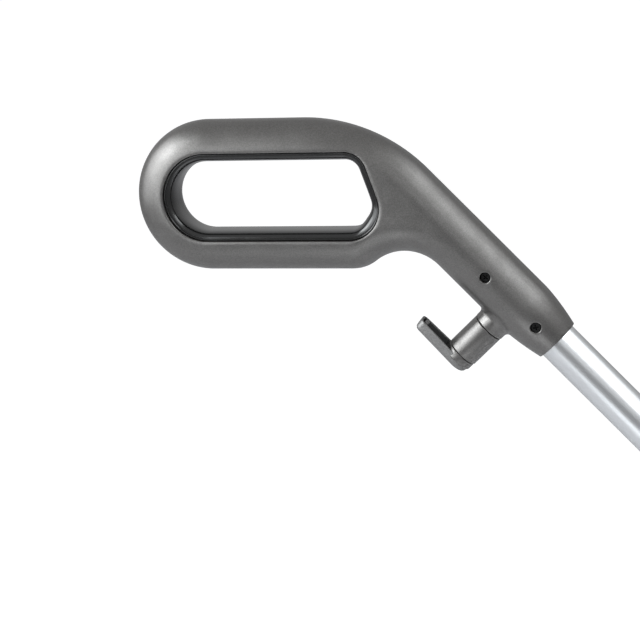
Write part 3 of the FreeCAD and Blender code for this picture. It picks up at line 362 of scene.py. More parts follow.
def grip_half(side, with_holes):
    """One half shell of the grip; side is -1 for the near (right) half and 1 for the far one."""
    loop, neck_steps = edge_rows()
    angles = [math.radians(angle) for angle in range(0, 67, 6)]

    columns = []
    for along in neck_steps:  # upper side of the neck, socket first
        half = float(neck_half(np.array(along)))
        columns.append([neck_point(along, half * math.cos(angle)) for angle in angles])
    for point, inward in loop:
        reach = float(edge_reach(np.array(point.dot(BACK))))
        columns.append([point + inward * (reach * (1 - math.cos(angle))) for angle in angles])
    for along in reversed(neck_steps):  # lower side, back to the socket
        half = float(neck_half(np.array(along)))
        columns.append([neck_point(along, -half * math.cos(angle)) for angle in angles])

    vertices, faces = [], []

    def lift(points):
        """Adds plane points to the skin at the form's height and returns their indices."""
        heights = half_thickness([p[0] for p in points], [p[1] for p in points])
        first = len(vertices)
        for (px, py), height in zip(points, heights):
            vertices.append((px, py, side * (float(height) + PARTING_GAP)))
        return list(range(first, first + len(points)))

    grid = []
    for column in columns:
        indices = lift([(p.x, p.y) for p in column])
        # The outermost point is on the parting plane whatever the distance formula's rounding says.
        vertices[indices[0]] = (column[0].x, column[0].y, side * PARTING_GAP)
        grid.append(indices)
    for left, right in zip(grid, grid[1:]):
        for low in range(len(angles) - 1):
            faces.append((left[low], right[low], right[low + 1], left[low + 1]))

    # Flange that closes the parting line a little way inside it.
    flange = []
    for column in columns:
        inward = (column[1] - column[0]).normalized()
        point = column[0] + inward * 1.2
        flange.append(len(vertices))
        vertices.append((point.x, point.y, side * PARTING_GAP * 0.6))
    for index in range(len(columns) - 1):
        faces.append((grid[index][0], flange[index], flange[index + 1], grid[index + 1][0]))

    fill_inside(faces, lift, columns, with_holes)
    socket_lip(vertices, faces, side)
    rim_lip(vertices, faces, side)
    if with_holes:
        for along in SCREWS_ALONG:
            screw_well(vertices, faces, side, along)
    return vertices, faces


def ring_of(outline, inset, step):
    points, normals = outline.sample(step)
    return [(p.x + n.x * inset, p.y + n.y * inset) for p, n in zip(points, normals)]


def hole_circle(along, radius):
    count = 40
    centre = neck_point(along, 0)
    angles = [2 * math.pi * step / count for step in range(count)]
    return [(centre.x + radius * math.cos(a), centre.y + radius * math.sin(a)) for a in angles]


RIM_RINGS = (0.4, 1.0, 1.8, 2.8, 4.0, 5.4)  # distances of the mesh's rings from the rim
RIM_RING_STEP, RIM_CLEAR = 1.4, 6.2  # their spacing along, and where the grid may start
GRID_PITCH, ROW_SHARE = 1.7, 0.866  # triangular grid over the form, rows a share closer


def fill_inside(faces, lift, columns, with_holes):
    """Triangles between the edge rings, the rim of the opening and the screw holes."""
    outer_loop = [tuple(column[-1]) for column in columns]
    end_low, end_high = Vector(outer_loop[-1]), Vector(outer_loop[0])
    across_steps = 6
    cap = [tuple(end_low.lerp(end_high, step / across_steps)) for step in range(1, across_steps)]
    outer_loop = outer_loop + cap
    loops = [outer_loop, ring_of(INNER, 0, 1.1)]
    if with_holes:
        loops += [hole_circle(along, SCREW_HOLE + HOLE_EASE) for along in SCREWS_ALONG]

    inner_points = []
    for outset in RIM_RINGS:
        inner_points += ring_of(INNER, -outset, RIM_RING_STEP)
    ring_count = len(inner_points)
    low_x, high_x = -230.0, 12.0
    rows = int(130 / (GRID_PITCH * ROW_SHARE))
    for row in range(rows):
        y = -6 + row * GRID_PITCH * ROW_SHARE
        shift = GRID_PITCH / 2 if row % 2 else 0.0
        columns_in_row = int((high_x - low_x) / GRID_PITCH)
        inner_points += [(low_x + shift + GRID_PITCH * i, y) for i in range(columns_in_row)]
    x = np.array([p[0] for p in inner_points])
    y = np.array([p[1] for p in inner_points])
    keep = parity_inside(x, y, loops)
    rim_gap = INNER.distance(x, y)
    is_grid = np.arange(len(x)) >= ring_count
    keep &= ~is_grid | (rim_gap > RIM_CLEAR)
    border = np.array([p for loop in (loops[:1] + loops[2:]) for p in loop])
    near = np.full(len(x), 1e9)
    for bx, by in border:
        near = np.minimum(near, (x - bx) ** 2 + (y - by) ** 2)
    keep &= near > 0.75**2
    extra = [(x[i], y[i]) for i in np.nonzero(keep)[0]]
    out_points, triangles = flat_fill(loops, extra, 1e-5)
    indices = lift([(p.x, p.y) for p in out_points])
    faces.extend(tuple(indices[i] for i in triangle) for triangle in triangles)


def socket_lip(vertices, faces, side):
    """Rounded end of the socket, down to the tube and a little way in."""
    profile = [(SOCKET_RADIUS, 0.0), (12.5, -0.12), (12.32, -0.22), (12.1, -0.26), (11.5, -0.26), (11.2, -0.15),
               (11.06, 0.1), (11.06, 4.0)]
    steps = 48
    rings = []
    for radius, along in profile:
        ring = []
        for step in range(steps + 1):
            angle = math.pi * step / steps
            point = neck_point(along, radius * math.cos(angle))
            ring.append((point.x, point.y, side * (radius * math.sin(angle) + PARTING_GAP)))
        rings.append(ring)
    append_skin(vertices, faces, stitch(rings, closed=False))


def rim_lip(vertices, faces, side):
    """Rounded lip of the shell round the finger opening, turning down beside the liner."""
    points, normals = INNER.sample(1.1)
    heights = half_thickness([p.x for p in points], [p.y for p in points])
    rings = []
    for inset, drop in ((0.0, 0.0), (0.14, 0.05), (0.26, 0.16), (0.32, 0.32), (0.34, 0.6), (0.34, 3.0)):
        rings.append([(p.x + n.x * inset, p.y + n.y * inset, side * (float(height) + PARTING_GAP - drop))
                      for p, n, height in zip(points, normals, heights)])
    append_skin(vertices, faces, stitch(rings))


def screw_well(vertices, faces, side, along):
    """Round hole with a softened mouth, down to the seat of the screw."""
    mouth = hole_circle(along, SCREW_HOLE + HOLE_EASE)
    heights = half_thickness([p[0] for p in mouth], [p[1] for p in mouth])
    centre = neck_point(along, 0)
    rings = []
    for share, drop in ((1.0, 0.0), (0.62, 0.05), (0.3, 0.16), (0.08, 0.34), (0.0, 0.6), (0.0, None)):
        radius = SCREW_HOLE + HOLE_EASE * share
        ring = []
        for (px, py), height in zip(mouth, heights):
            outward = (Vector((px, py)) - centre).normalized()
            point = centre + outward * radius
            level = SCREW_SEAT if drop is None else float(height) - drop
            ring.append((point.x, point.y, side * (level + PARTING_GAP)))
        rings.append(ring)
    rings.append([(centre.x + (px - centre.x) * 0.3, centre.y + (py - centre.y) * 0.3, pz)
                  for px, py, pz in rings[-1]])
    append_skin(vertices, faces, stitch(rings))


def append_skin(vertices, faces, skin):
    first = len(vertices)
    vertices.extend(skin[0])
    faces.extend(tuple(first + i for i in face) for face in skin[1])


def liner_skin():
    """Glossy ring in the finger opening: a bead by the shell's rim, then a bulge into the opening."""
    points, normals = INNER.sample(1.1)
    top = LINER_HALF
    half_profile = [(0.62, 6.0), (0.62, top - 1.2), (0.65, top - 0.5)]
    half_profile += arc_points((1.1, top - 0.45), 0.45, 170, 20, 7)
    half_profile.append((1.6, top - 0.75))
    bulge_start, bulge_top = 1.75, top - 0.8
    depth = LINER_DEPTH - bulge_start
    for step in range(1, 15):
        angle = math.pi / 2 * step / 15
        half_profile.append((bulge_start + depth * math.sin(angle) ** 0.75, bulge_top * math.cos(angle) ** 0.75))
    profile = half_profile + [(LINER_DEPTH, 0.0)] + [(inset, -level) for inset, level in reversed(half_profile)]
    # The bulge is fuller at the toe of the opening, where the palm's heel rests.
    _, centre, radius, first, turn = [segment for segment in INNER.segments if segment[0] == "arc"][1]
    toe = centre + Vector((math.cos(first + turn / 2), math.sin(first + turn / 2))) * radius
    fuller = [TOE_FILL * math.exp(-((p - toe).length / TOE_SPREAD) ** 2) for p in points]
    rings = []
    for inset, level in profile:
        share = max(inset - bulge_start, 0) / depth
        rings.append([(p.x + n.x * (inset + more * share), p.y + n.y * (inset + more * share), level)
                      for p, n, more in zip(points, normals, fuller)])
    return stitch(rings)


def boss_skin():
    """Hook boss: a short post that flares into the round of the neck, in the neck's frame."""
    radius, foot, flare, ease = 9.2, 21.2, 3.2, 2.1
    columns = 96
    rings = [[] for _ in range(16)]
    for step in range(columns):
        angle = 2 * math.pi * step / columns
        along_share, side_share = math.cos(angle), math.sin(angle)

        def surface(reach):
            """Depth of the neck's surface below its axis at a distance from the boss axis."""
            neck = float(neck_half(np.array(HOOK_ALONG + reach * along_share)))
            return -math.sqrt(neck**2 - (reach * side_share) ** 2)

        far = radius + flare
        slope = (surface(far) - surface(far - 0.1)) / 0.1
        start = Vector((surface(radius) - 3.0, radius))
        end = Vector((surface(far) + 0.03, far))
        handles = (start, start + Vector((ease, 0)), end - Vector((slope, 1.0)) * ease, end)
        profile = [(-foot, 2.6), (-foot, radius - 0.3), (-foot + 0.09, radius - 0.09), (-foot + 0.3, radius)]
        profile.append((min(start.x - 0.3, -foot + 0.5), radius))
        for index in range(11):
            t = index / 10
            weights = ((1 - t) ** 3, 3 * t * (1 - t) ** 2, 3 * t * t * (1 - t), t**3)
            point = sum((w * h for w, h in zip(weights, handles)), Vector((0, 0)))
            profile.append((point.x, point.y))
        for level, (depth, reach) in enumerate(profile):
            rings[level].append((depth, reach * side_share, HOOK_ALONG + reach * along_share))
    return stitch(rings)


HOOK_ALONG = 30.2
HOOK_FRAME = place(SOCKET + ALONG * HOOK_ALONG * MM, ALONG, SIDE, -ACROSS)  # local z down the hook


def plate_skin(outline, profile, step=0.5, open_below=False):
    """Capped skin through insets of an outline; profile is (inset, height) from bottom to top."""
    points, normals = outline.sample(step)
    vertices, faces = stitch([[(p.x + n.x * inset, p.y + n.y * inset, height) for p, n in zip(points, normals)]
                              for inset, height in profile])
    count = len(points)
    if not open_below:
        faces.append(tuple(range(count)))
    faces.append(tuple(range(len(vertices) - count, len(vertices))))
    return vertices, faces


ARM_FOOT, ARM_REACH, ARM_TAPER = 8.3, 28.6, math.radians(4.85)
ARM_BOTTOM, ARM_RIM = 49.3, 43.4
ARM_TIP = ARM_FOOT / math.cos(ARM_TAPER) - ARM_REACH * math.tan(ARM_TAPER)
# Corners from which arcs of the foot's radius make one round foot about the hook's axis.
ARM_HEEL = ARM_FOOT / math.tan((math.pi / 2 - ARM_TAPER) / 2)
ARM_OUTLINE = Outline([(-ARM_FOOT, -ARM_HEEL, ARM_FOOT - 0.01), (ARM_REACH, -ARM_TIP, 3.6),
                       (ARM_REACH, ARM_TIP, 3.6), (-ARM_FOOT, ARM_HEEL, ARM_FOOT - 0.01)])


def hook_arm_skin():
    """Arm of the cord hook: a tapered channel on a round foot; local x runs out along the arm."""
    edge, draft = 2.2, 0.5
    profile = [(edge + draft + 0.6, ARM_BOTTOM), (edge + draft, ARM_BOTTOM)]
    profile += [(edge + draft - x, ARM_BOTTOM - edge + y) for x, y in arc_points((0, 0), edge, 84, 6, 8)]
    profile += [(0.0, ARM_RIM + 0.5), (0.06, ARM_RIM + 0.22), (0.2, ARM_RIM + 0.06), (0.42, ARM_RIM),
                (0.95, ARM_RIM), (1.14, ARM_RIM + 0.08), (1.24, ARM_RIM + 0.3), (1.26, ARM_RIM + 0.9),
                (1.5, ARM_RIM + 4.6)]
    vertices, faces = plate_skin(ARM_OUTLINE, profile)
    # Lug inside the tip, which snaps over the outer turn of cord.
    lug = Outline([(23.6, -3.3, 0.9), (26.0, -3.3, 0.9), (26.0, 3.3, 0.9), (23.6, 3.3, 0.9)])
    top = ARM_RIM - 0.35
    append_skin(vertices, faces, plate_skin(lug, [(0, 47.6), (0, top + 0.7), (0.12, top + 0.3), (0.35, top + 0.08),
                                                  (0.7, top)], 0.3))
    return vertices, faces


def hook_collar_skin():
    """Collar between the sleeve and the arm, a little wider than the arm's foot."""
    return lathe([(2.8, 46.2), (7.9, 46.2), (8.4, 46.0), (8.62, 45.6), (8.65, 45.3), (8.65, 42.1), (8.58, 41.8),
                  (8.35, 41.6), (8.0, 41.52), (2.8, 41.52)], 128)


def painted_shade_channel_skin():
    """Black piece that lines the hook arm's channel, which the cord is wound on: painted shade, standing in for the
    shade deep in the channel.
    """
    profile = [(1.2, ARM_RIM + 0.75), (1.34, ARM_RIM + 0.62), (1.5, ARM_RIM + 0.7), (1.62, ARM_RIM + 1.0),
               (1.8, ARM_RIM + 3.4), (2.0, ARM_RIM + 3.9), (2.5, ARM_RIM + 4.2), (3.2, ARM_RIM + 4.3)]
    return plate_skin(ARM_OUTLINE, profile, open_below=True)


def sleeve_profile():
    """Turned sleeve of the cord hook, from the boss down to the arm."""
    radius, top, bottom, edge = 9.0, 21.6, 41.3, 0.4
    corner_top = [(radius - edge + x, top + edge - y) for x, y in arc_points((0, 0), edge, 90, 0, 5)]
    corner_bottom = arc_points((radius - edge, bottom - edge), edge, 0, 90, 5)
    return [(2.8, top), *corner_top, *corner_bottom, (2.8, bottom)]


# ---- materials

def linear(level):
    """Linear value of an sRGB level from 0 to 255."""
    share = level / 255
    return share / 12.92 if share <= 0.04045 else ((share + 0.055) / 1.055) ** 2.4


def grey(level, warm=0.0):
    """Linear colour of a grey sRGB level, warmer (+) or cooler (-) by a share."""
    value = linear(level)
    return value * (1 + warm), value, value * (1 - warm)


def set_sockets(node, **values):
    """Sets a node's inputs by name, with _ for a space."""
    for socket, value in values.items():
        node.inputs[socket.replace("_", " ")].default_value = value


def add_node(tree, kind, **values):
    node = tree.nodes.new("ShaderNode" + kind)
    set_sockets(node, **values)
    return node


FLAKE_SCALE = 2600  # cells of metal flake to a metre


def finish_of(name, colour, roughness, *, mottle=0.06, mottle_scale=28, grain=2400, grain_depth=0.02,
              uneven=0.05, stretch=None, flakes=0.0, **sockets):
    """Moulded, rolled or rubbery surface: mottled colour, uneven gloss and a fine grain.

    stretch is (direction, factor): the grain is drawn out along that direction, as in a drawn tube.
    flakes lightens and darkens tiny cells, as metal flake in plastic does. sockets are values of the
    Principled shader that are the same all over the surface.
    """
    material = bpy.data.materials.new(name)
    material.use_nodes = True
    tree = material.node_tree
    link = tree.links.new
    shader = tree.nodes["Principled BSDF"]
    set_sockets(shader, **sockets)
    coordinates = add_node(tree, "TexCoord").outputs["Object"]

    def noise(scale, detail, vector):
        node = add_node(tree, "TexNoise", Scale=scale, Detail=detail, Roughness=0.6)
        link(vector, node.inputs["Vector"])
        return node.outputs["Fac"]

    def spread(source, low, high, source_low=0.3, source_high=0.7):
        node = add_node(tree, "MapRange", From_Min=source_low, From_Max=source_high, To_Min=low, To_Max=high)
        link(source, node.inputs["Value"])
        return node.outputs["Result"]

    grain_vector = coordinates
    if stretch:
        direction, factor = stretch
        upright = Vector((0, 0, 1)).rotation_difference(direction).inverted().to_euler()
        turn = add_node(tree, "Mapping", Rotation=upright)
        turn.vector_type = "POINT"
        squeeze = add_node(tree, "Mapping", Scale=(1, 1, 1 / factor))
        link(coordinates, turn.inputs["Vector"])
        link(turn.outputs["Vector"], squeeze.inputs["Vector"])
        grain_vector = squeeze.outputs["Vector"]

    blotches = spread(noise(mottle_scale, 4, coordinates), 1 - mottle, 1 + mottle)
    if flakes:
        cells = add_node(tree, "TexVoronoi", Scale=FLAKE_SCALE)
        parts = add_node(tree, "SeparateColor")
        product = add_node(tree, "Math")
        product.operation = "MULTIPLY"
        link(coordinates, cells.inputs["Vector"])
        link(cells.outputs["Color"], parts.inputs["Color"])
        link(blotches, product.inputs[0])
        link(spread(parts.outputs["Red"], 1 - flakes, 1 + flakes, 0, 1), product.inputs[1])
        blotches = product.outputs["Value"]
    tint = add_node(tree, "VectorMath")
    tint.operation = "SCALE"
    tint.inputs[0].default_value = colour
    link(blotches, tint.inputs["Scale"])
    link(tint.outputs["Vector"], shader.inputs["Base Color"])

    gloss = spread(noise(mottle_scale * 3.1, 3, grain_vector), max(roughness - uneven, 0.02), roughness + uneven)
    link(gloss, shader.inputs["Roughness"])

    bump = add_node(tree, "Bump", Strength=1.0, Distance=grain_depth * MM)
    link(noise(grain, 2, grain_vector), bump.inputs["Height"])
    link(bump.outputs["Normal"], shader.inputs["Normal"])
    return material


# One finish for each material slot of the record.
FINISHES = {}


def slot_finish(slot, *look, **details):
    FINISHES[slot] = finish_of(slot, *look, **details)


slot_finish("shell_grey", grey(98, 0.03), 0.36, mottle=0.05, flakes=0.16, grain=1900,
            grain_depth=0.012, Metallic=0.8, Coat_Weight=0.1, Coat_Roughness=0.25)
slot_finish("liner_black", grey(20), 0.15, mottle=0.12, grain=900, grain_depth=0.004,
            uneven=0.03, Coat_Weight=0.25, Coat_Roughness=0.06)
slot_finish("satin_tube", grey(204, -0.02), 0.30, mottle=0.02, grain=2600, grain_depth=0.006,
            uneven=0.04, stretch=(ALONG, 60), Metallic=1.0)
# Near-black screws: black oxide, darkened further as painted shade so the grip's screw holes look as dark as their
# shade; the head's screws share the colour.
slot_finish("screw_steel", grey(14), 0.42, mottle=0.2, mottle_scale=160, grain=3000,
            grain_depth=0.01, Metallic=0.6)
slot_finish("bright_steel", grey(168, 0.01), 0.26, mottle=0.03, mottle_scale=120, grain=2400,
            grain_depth=0.004, uneven=0.02, stretch=(SIDE, 12), Metallic=1.0)
slot_finish("black_plastic", grey(44), 0.52, mottle=0.1, grain=1300, grain_depth=0.04)
slot_finish("smoked_window", grey(88, -0.04), 0.08, mottle=0.04, grain=500, grain_depth=0.002,
            uneven=0.03, Transmission_Weight=0.82, IOR=1.49)
slot_finish("bumper_rubber", grey(40), 0.68, mottle=0.12, grain=900, grain_depth=0.05,
            uneven=0.08)
slot_finish("tyre_rubber", grey(42, 0.02), 0.78, mottle=0.18, mottle_scale=60, grain=1100,
            grain_depth=0.06, uneven=0.08)
slot_finish("tray_plastic", grey(78, -0.02), 0.42, mottle=0.06, grain=1700, grain_depth=0.02)
slot_finish("bristle", grey(58), 0.35, mottle=0.25, mottle_scale=400, grain=4000, grain_depth=0.01)
slot_finish("belt_rubber", grey(36), 0.72, mottle=0.15, grain=1400, grain_depth=0.05)
slot_finish("motor_steel", grey(178, 0.02), 0.3, mottle=0.12, mottle_scale=220, grain=1500,
            grain_depth=0.01, Metallic=1.0)
slot_finish("ferrite", grey(62), 0.6, mottle=0.2, mottle_scale=300, grain=2500, grain_depth=0.05)
slot_finish("nylon", grey(226, 0.02), 0.45, mottle=0.03, grain=1500, grain_depth=0.02,
            Subsurface_Weight=0.1)
slot_finish("button_grey", grey(148, -0.01), 0.34, mottle=0.04, grain=1900, grain_depth=0.012,
            flakes=0.08, Metallic=0.2)

for subpart in frame["record"]["subparts"]:
    node = nodes[subpart["node"]]
    for material_slot in node.material_slots:
        material_slot.material = FINISHES[subpart["material_slot"]]


# The hook arm's spark-eroded texture: the shell's plastic, matt, in a lighter copy whose extra lightness is painted
# light for the brightness its side shows.
LIGHTER_MATT_SHELL = finish_of("matt_shell_grey_lit", grey(114, 0.01), 0.46, mottle=0.05, flakes=0.2, grain=1500,
                      grain_depth=0.045, Metallic=0.6)


def add(name, skin, matrix, slot, body, *replaced, sharp=40.0, weld=0.002, finish=None):
    """Finished piece from a (vertices, faces) skin in millimetres."""
    piece = make_piece(name, *skin, matrix, finish or FINISHES[slot], body, sharp, weld)
    if replaced:
        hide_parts(*replaced)
    return piece


# ---- screws

def cross_outline(half_length, half_width):
    """Outline of a cross recess, anticlockwise."""
    a, b = half_length, half_width
    corner = [(a, -b), (a, b), (b, b)]
    outline = []
    for quarter in range(4):
        angle = math.pi / 2 * quarter
        for x, y in corner:
            outline.append((x * math.cos(angle) - y * math.sin(angle), x * math.sin(angle) + y * math.cos(angle)))
    return outline


def screw_skin(head_radius, head_height, shank_radius, shank_length, twist=0.0):
    """Pan-head screw with a tapered cross recess; local z points out of the head."""
    edge = min(0.4, head_height * 0.3)
    profile = [(0.0, -shank_length), (shank_radius * 0.7, -shank_length), (shank_radius, 0.8 - shank_length),
               (shank_radius, 0.0), (head_radius, 0.0), (head_radius, head_height - edge)]
    profile += arc_points((head_radius - edge, head_height - edge), edge, 15, 90, 5)
    segments = 48
    vertices, faces = lathe(profile, segments)
    reach = head_radius - edge
    rim = [(reach * math.cos(2 * math.pi * i / segments), reach * math.sin(2 * math.pi * i / segments))
           for i in range(segments)]
    top = cross_outline(head_radius * 0.56, head_radius * 0.13)
    turn = Matrix.Rotation(twist, 2)
    top = [tuple(turn @ Vector(p)) for p in top]
    floor = [(x * 0.62, y * 0.62) for x, y in top]
    depth = head_height * 0.62
    points, triangles = flat_fill([rim, top])
    append_skin(vertices, faces, ([(p.x, p.y, head_height) for p in points], triangles))
    append_skin(vertices, faces, stitch([[(x, y, head_height) for x, y in top],
                                         [(x, y, head_height - depth) for x, y in floor]]))
    points, triangles = flat_fill([floor])
    append_skin(vertices, faces, ([(p.x, p.y, head_height - depth) for p in points], triangles))
    return vertices, faces


# ---- handle pieces

add("grip_shell_right", grip_half(-1, True), GRIP, "shell_grey", "handle", "handle_shell_right", sharp=55)
add("grip_shell_left", grip_half(1, False), GRIP, "shell_grey", "handle", "handle_shell_left", sharp=55)
add("finger_liner", liner_skin(), GRIP, "liner_black", "handle", "grip_liner", sharp=60)
add("hook_boss", boss_skin(), NECK, "shell_grey", "handle", sharp=50)
add("hook_sleeve", lathe(sleeve_profile(), 128), HOOK_FRAME, "shell_grey", "cord_hook", "cord_hook_sleeve")
# The arm takes the lighter copy of the shell's finish, partly painted light.
add("hook_arm", hook_arm_skin(), HOOK_FRAME, "shell_grey", "cord_hook", "cord_hook_arm", finish=LIGHTER_MATT_SHELL)
add("hook_collar", hook_collar_skin(), HOOK_FRAME, "shell_grey", "cord_hook")
# Black piece in the arm's channel: painted shade for the shade deep in it.
add("channel_painted_shade", painted_shade_channel_skin(), HOOK_FRAME, "black_plastic", "cord_hook")

screws = []
for number, along in enumerate(SCREWS_ALONG):
    spot = SOCKET + ALONG * along * MM - SIDE * SCREW_LEVEL * MM
    skin = screw_skin(2.75, 2.2, 1.5, 25.0, twist=0.5 + number)
    seat = place(spot, ALONG, ACROSS, -SIDE)
    screws.append(([tuple(seat @ Vector(v)) for v in skin[0]], skin[1]))
both = ([], [])
for skin in screws:
    append_skin(*both, skin)
add("grip_screws", both, Matrix.Identity(4), "screw_steel", "handle", "handle_screws", weld=0.0)

TUBE_RADIUS, TUBE_BORE = 11.0, 9.8
TUBE_FOOT, TUBE_TOP = 52.0, 963.5


def tube_skin():
    """Drawn tube with softened ends, open right through."""
    stations = [TUBE_FOOT + 0.4 + (TUBE_TOP - TUBE_FOOT - 0.8) * step / 60 for step in range(61)]
    profile = [(TUBE_BORE, TUBE_TOP - 0.2), (TUBE_BORE, TUBE_FOOT + 0.2), (TUBE_BORE + 0.2, TUBE_FOOT),
               (TUBE_RADIUS - 0.4, TUBE_FOOT)]
    profile += [(TUBE_RADIUS, height) for height in stations]
    profile += [(TUBE_RADIUS - 0.4, TUBE_TOP), (TUBE_BORE + 0.2, TUBE_TOP), (TUBE_BORE, TUBE_TOP - 0.2)]
    return lathe(profile, 144)


add("handle_tube_drawn", tube_skin(), TUBE, "satin_tube", "handle", "handle_tube")


# ---- head pieces

HEAD = place(Vector((PIVOT.x, 0, 0)), Vector((1, 0, 0)), SIDE, Vector((0, 0, 1)))


def softened(node_name, name, slot, body, voxel, rounds):
    """Moulded version of a CAD node: its solids joined in one skin with every edge rounded."""
    source = nodes[node_name]
    mesh = source.data.copy()
    mesh.transform(source.matrix_world)
    piece = link_object(name, mesh)
    remesh = piece.modifiers.new("remesh", "REMESH")
    remesh.mode = "VOXEL"
    remesh.voxel_size = voxel * MM
    smooth = piece.modifiers.new("smooth", "SMOOTH")
    smooth.factor, smooth.iterations = 0.5, rounds
    evaluated = piece.evaluated_get(bpy.context.evaluated_depsgraph_get())
    finished = bpy.data.meshes.new_from_object(evaluated)
    piece.modifiers.clear()
    piece.data = finished
    finished.materials.clear()
    finished.materials.append(FINISHES[slot])
    finished.shade_smooth()
    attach(piece, body)
    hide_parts(node_name)


def band(distance, width, edge):
    """1 within half a width of a line, 0 outside it, with a slope of the given width between."""
    return min(max((width / 2 - abs(distance)) / edge + 0.5, 0.0), 1.0)


TYRE_RADIUS, TYRE_HALF, TYRE_SEAT = 32.0, 9.0, 23.0
TREAD_DEPTH, LUGS = 0.9, 32
WHEEL_BEHIND, WHEEL_OUT = 105, 148.5  # the wheels' middles, behind the handle's pivot and off the midplane


def tyre_skin():
    """Rubber tyre with a middle groove and slanted lugs; local z is the axle, outwards."""
    segments = 384
    side = [(TYRE_SEAT, 7.6), (TYRE_SEAT + 0.2, 8.4), (TYRE_SEAT + 0.8, 8.9), (24.6, TYRE_HALF), (25.6, TYRE_HALF),
            (25.8, 8.75), (26.4, 8.65), (27.0, 8.75), (27.2, TYRE_HALF), (28.2, TYRE_HALF)]
    side += [(x, z) for z, x in arc_points((TYRE_HALF - 3.8, TYRE_RADIUS - 3.8), 3.8, 10, 80, 10)]
    stations = [(radius, -height) for radius, height in side]
    tread_half = 5.0
    count = 44
    stations += [(TYRE_RADIUS, -tread_half + 2 * tread_half * step / count) for step in range(count + 1)]
    stations += [(radius, height) for radius, height in reversed(side)]
    stations.append(stations[0])

    def tread(radius, height, angle):
        dip = 0.0
        if radius > TYRE_RADIUS - 1.6:
            slant = 0.045 * abs(height)
            half_pitch = 0.5 if height > 0 else 0.0
            turn = (angle + slant) / (2 * math.pi) * LUGS + half_pitch
            across = (turn - round(turn)) * 2 * math.pi * TYRE_RADIUS / LUGS
            dip = TREAD_DEPTH * max(band(height, 1.4, 0.4), band(across, 1.5, 0.5) * (abs(height) > 0.7))
        reach = radius - dip
        return reach * math.cos(angle), reach * math.sin(angle), height

    return turned(stations, segments, tread)


def hub_skin():
    """Wheel hub with a raised boss and six spokes on its outer face; local z points outwards."""
    segments, spokes = 240, 6
    web, spoke_top = 3.2, 6.4
    outer = [(4.06, 8.7), (4.4, 9.0), (7.3, 9.0), (7.8, 8.8), (8.0, 8.3), (8.1, None), (8.6, None), (10.0, None),
             (12.0, None), (14.0, None), (16.0, None), (17.4, None), (17.9, None), (18.1, 6.9), (18.6, 7.4),
             (19.2, 7.5), (20.2, 7.5), (20.4, 7.2), (20.9, 7.2), (21.1, 7.5), (22.3, 7.5), (22.8, 7.3), (23.0, 6.8)]
    inner = [(23.0, -6.8), (22.6, -7.5), (18.8, -7.5), (18.3, -7.0), (18.0, -3.2), (8.2, -4.8), (8.0, -7.7),
             (7.6, -8.0), (4.4, -8.0), (4.06, -7.7), (4.06, 8.7)]

    def face(radius, height, angle):
        if height is None:
            turn = angle / (2 * math.pi) * spokes
            across = (turn - round(turn)) * 2 * math.pi * radius / spokes
            ends = max(0.0, 1 - (radius - 8.1) / 1.2, 1 - (17.9 - radius) / 1.2)
            height = web + (spoke_top - web) * max(band(across, 4.0, 0.8), ends * 0.35)
        return radius * math.cos(angle), radius * math.sin(angle), height

    return turned(outer + inner, segments, face)


for side_name, sign in (("right", -1), ("left", 1)):
    centre = Vector((PIVOT.x - WHEEL_BEHIND * MM, sign * WHEEL_OUT * MM, TYRE_RADIUS * MM))
    frame_of_wheel = place(centre, Vector((1, 0, 0)), Vector((0, 0, -sign)), SIDE * sign)
    add(f"tyre_{side_name}", tyre_skin(), frame_of_wheel, "tyre_rubber", f"{side_name}_wheel",
        f"wheel_tyre_{side_name}", sharp=50)
    add(f"hub_{side_name}", hub_skin(), frame_of_wheel, "tray_plastic", f"{side_name}_wheel",
        f"wheel_hub_{side_name}", sharp=35)


def tufts_skin():
    """Brush tufts in four spiral rows, each a bundle of tapered nylon bristles."""
    vertices, faces = [], []
    chance = random.Random(7)
    rows, count, half, core, tip = 4, 22, 128.0, 12.6, 25.0
    sides = 5
    for number in range(rows * count):
        step = number // rows
        angle = 2 * math.pi * (number % rows) / rows + math.pi * step / count
        outward = Vector((math.cos(angle), 0, math.sin(angle)))
        sideways = Vector((-math.sin(angle), 0, math.cos(angle)))
        middle = Vector((129, -half + 2 * half / (count - 1) * step, 26))
        for bristle in range(19):
            ring_number = 0 if bristle == 0 else (1 if bristle < 7 else 2)
            spin = bristle * math.pi / 3 + ring_number * 0.4 if ring_number < 2 else (bristle - 7) * math.pi / 6
            reach = (0.0, 0.68, 1.3)[ring_number]
            spread = 1.5 + chance.uniform(-0.15, 0.12)
            across = Vector((0, math.cos(spin), 0)) + sideways * math.sin(spin)
            foot = middle + outward * core + across * reach
            top = middle + outward * (tip - chance.uniform(0.0, 0.5)) + across * (reach * spread)
            first = len(vertices)
            for point, radius in ((foot, 0.3), (foot.lerp(top, 0.7), 0.27), (top, 0.16)):
                for corner in range(sides):
                    turn = 2 * math.pi * corner / sides
                    offset = Vector((0, math.cos(turn), 0)) + sideways * math.sin(turn)
                    vertices.append(tuple(point + offset * radius))
            for level in (0, 1):
                for corner in range(sides):
                    after = (corner + 1) % sides
                    low, high = first + level * sides, first + (level + 1) * sides
                    faces.append((low + corner, low + after, high + after, high + corner))
            faces.append(tuple(range(first + sides - 1, first - 1, -1)))
            faces.append(tuple(range(first + 2 * sides, first + 3 * sides)))
    return vertices, faces


add("brush_bristles", tufts_skin(), HEAD, "bristle", "brush", "brush_tufts", sharp=60, weld=0.0)

BASE_SCREWS = [(-124, -104), (-124, 104), (-52, -150), (-52, 150), (156, -149), (156, 149)]
base_screws = ([], [])
for number, (x, y) in enumerate(BASE_SCREWS):
    skin = screw_skin(3.2, 2.2, 1.3, 26.0, twist=0.4 + 0.9 * number)
    append_skin(*base_screws, ([(x + vx, y - vy, 12.0 - vz) for vx, vy, vz in skin[0]], skin[1]))
add("casing_screws", base_screws, HEAD, "screw_steel", "head", "base_screws", weld=0.0)


BUTTON_X, BUTTON_Y, BUTTON_RADIUS, BUTTON_TOP = -86, 84, 12.9, 58.4


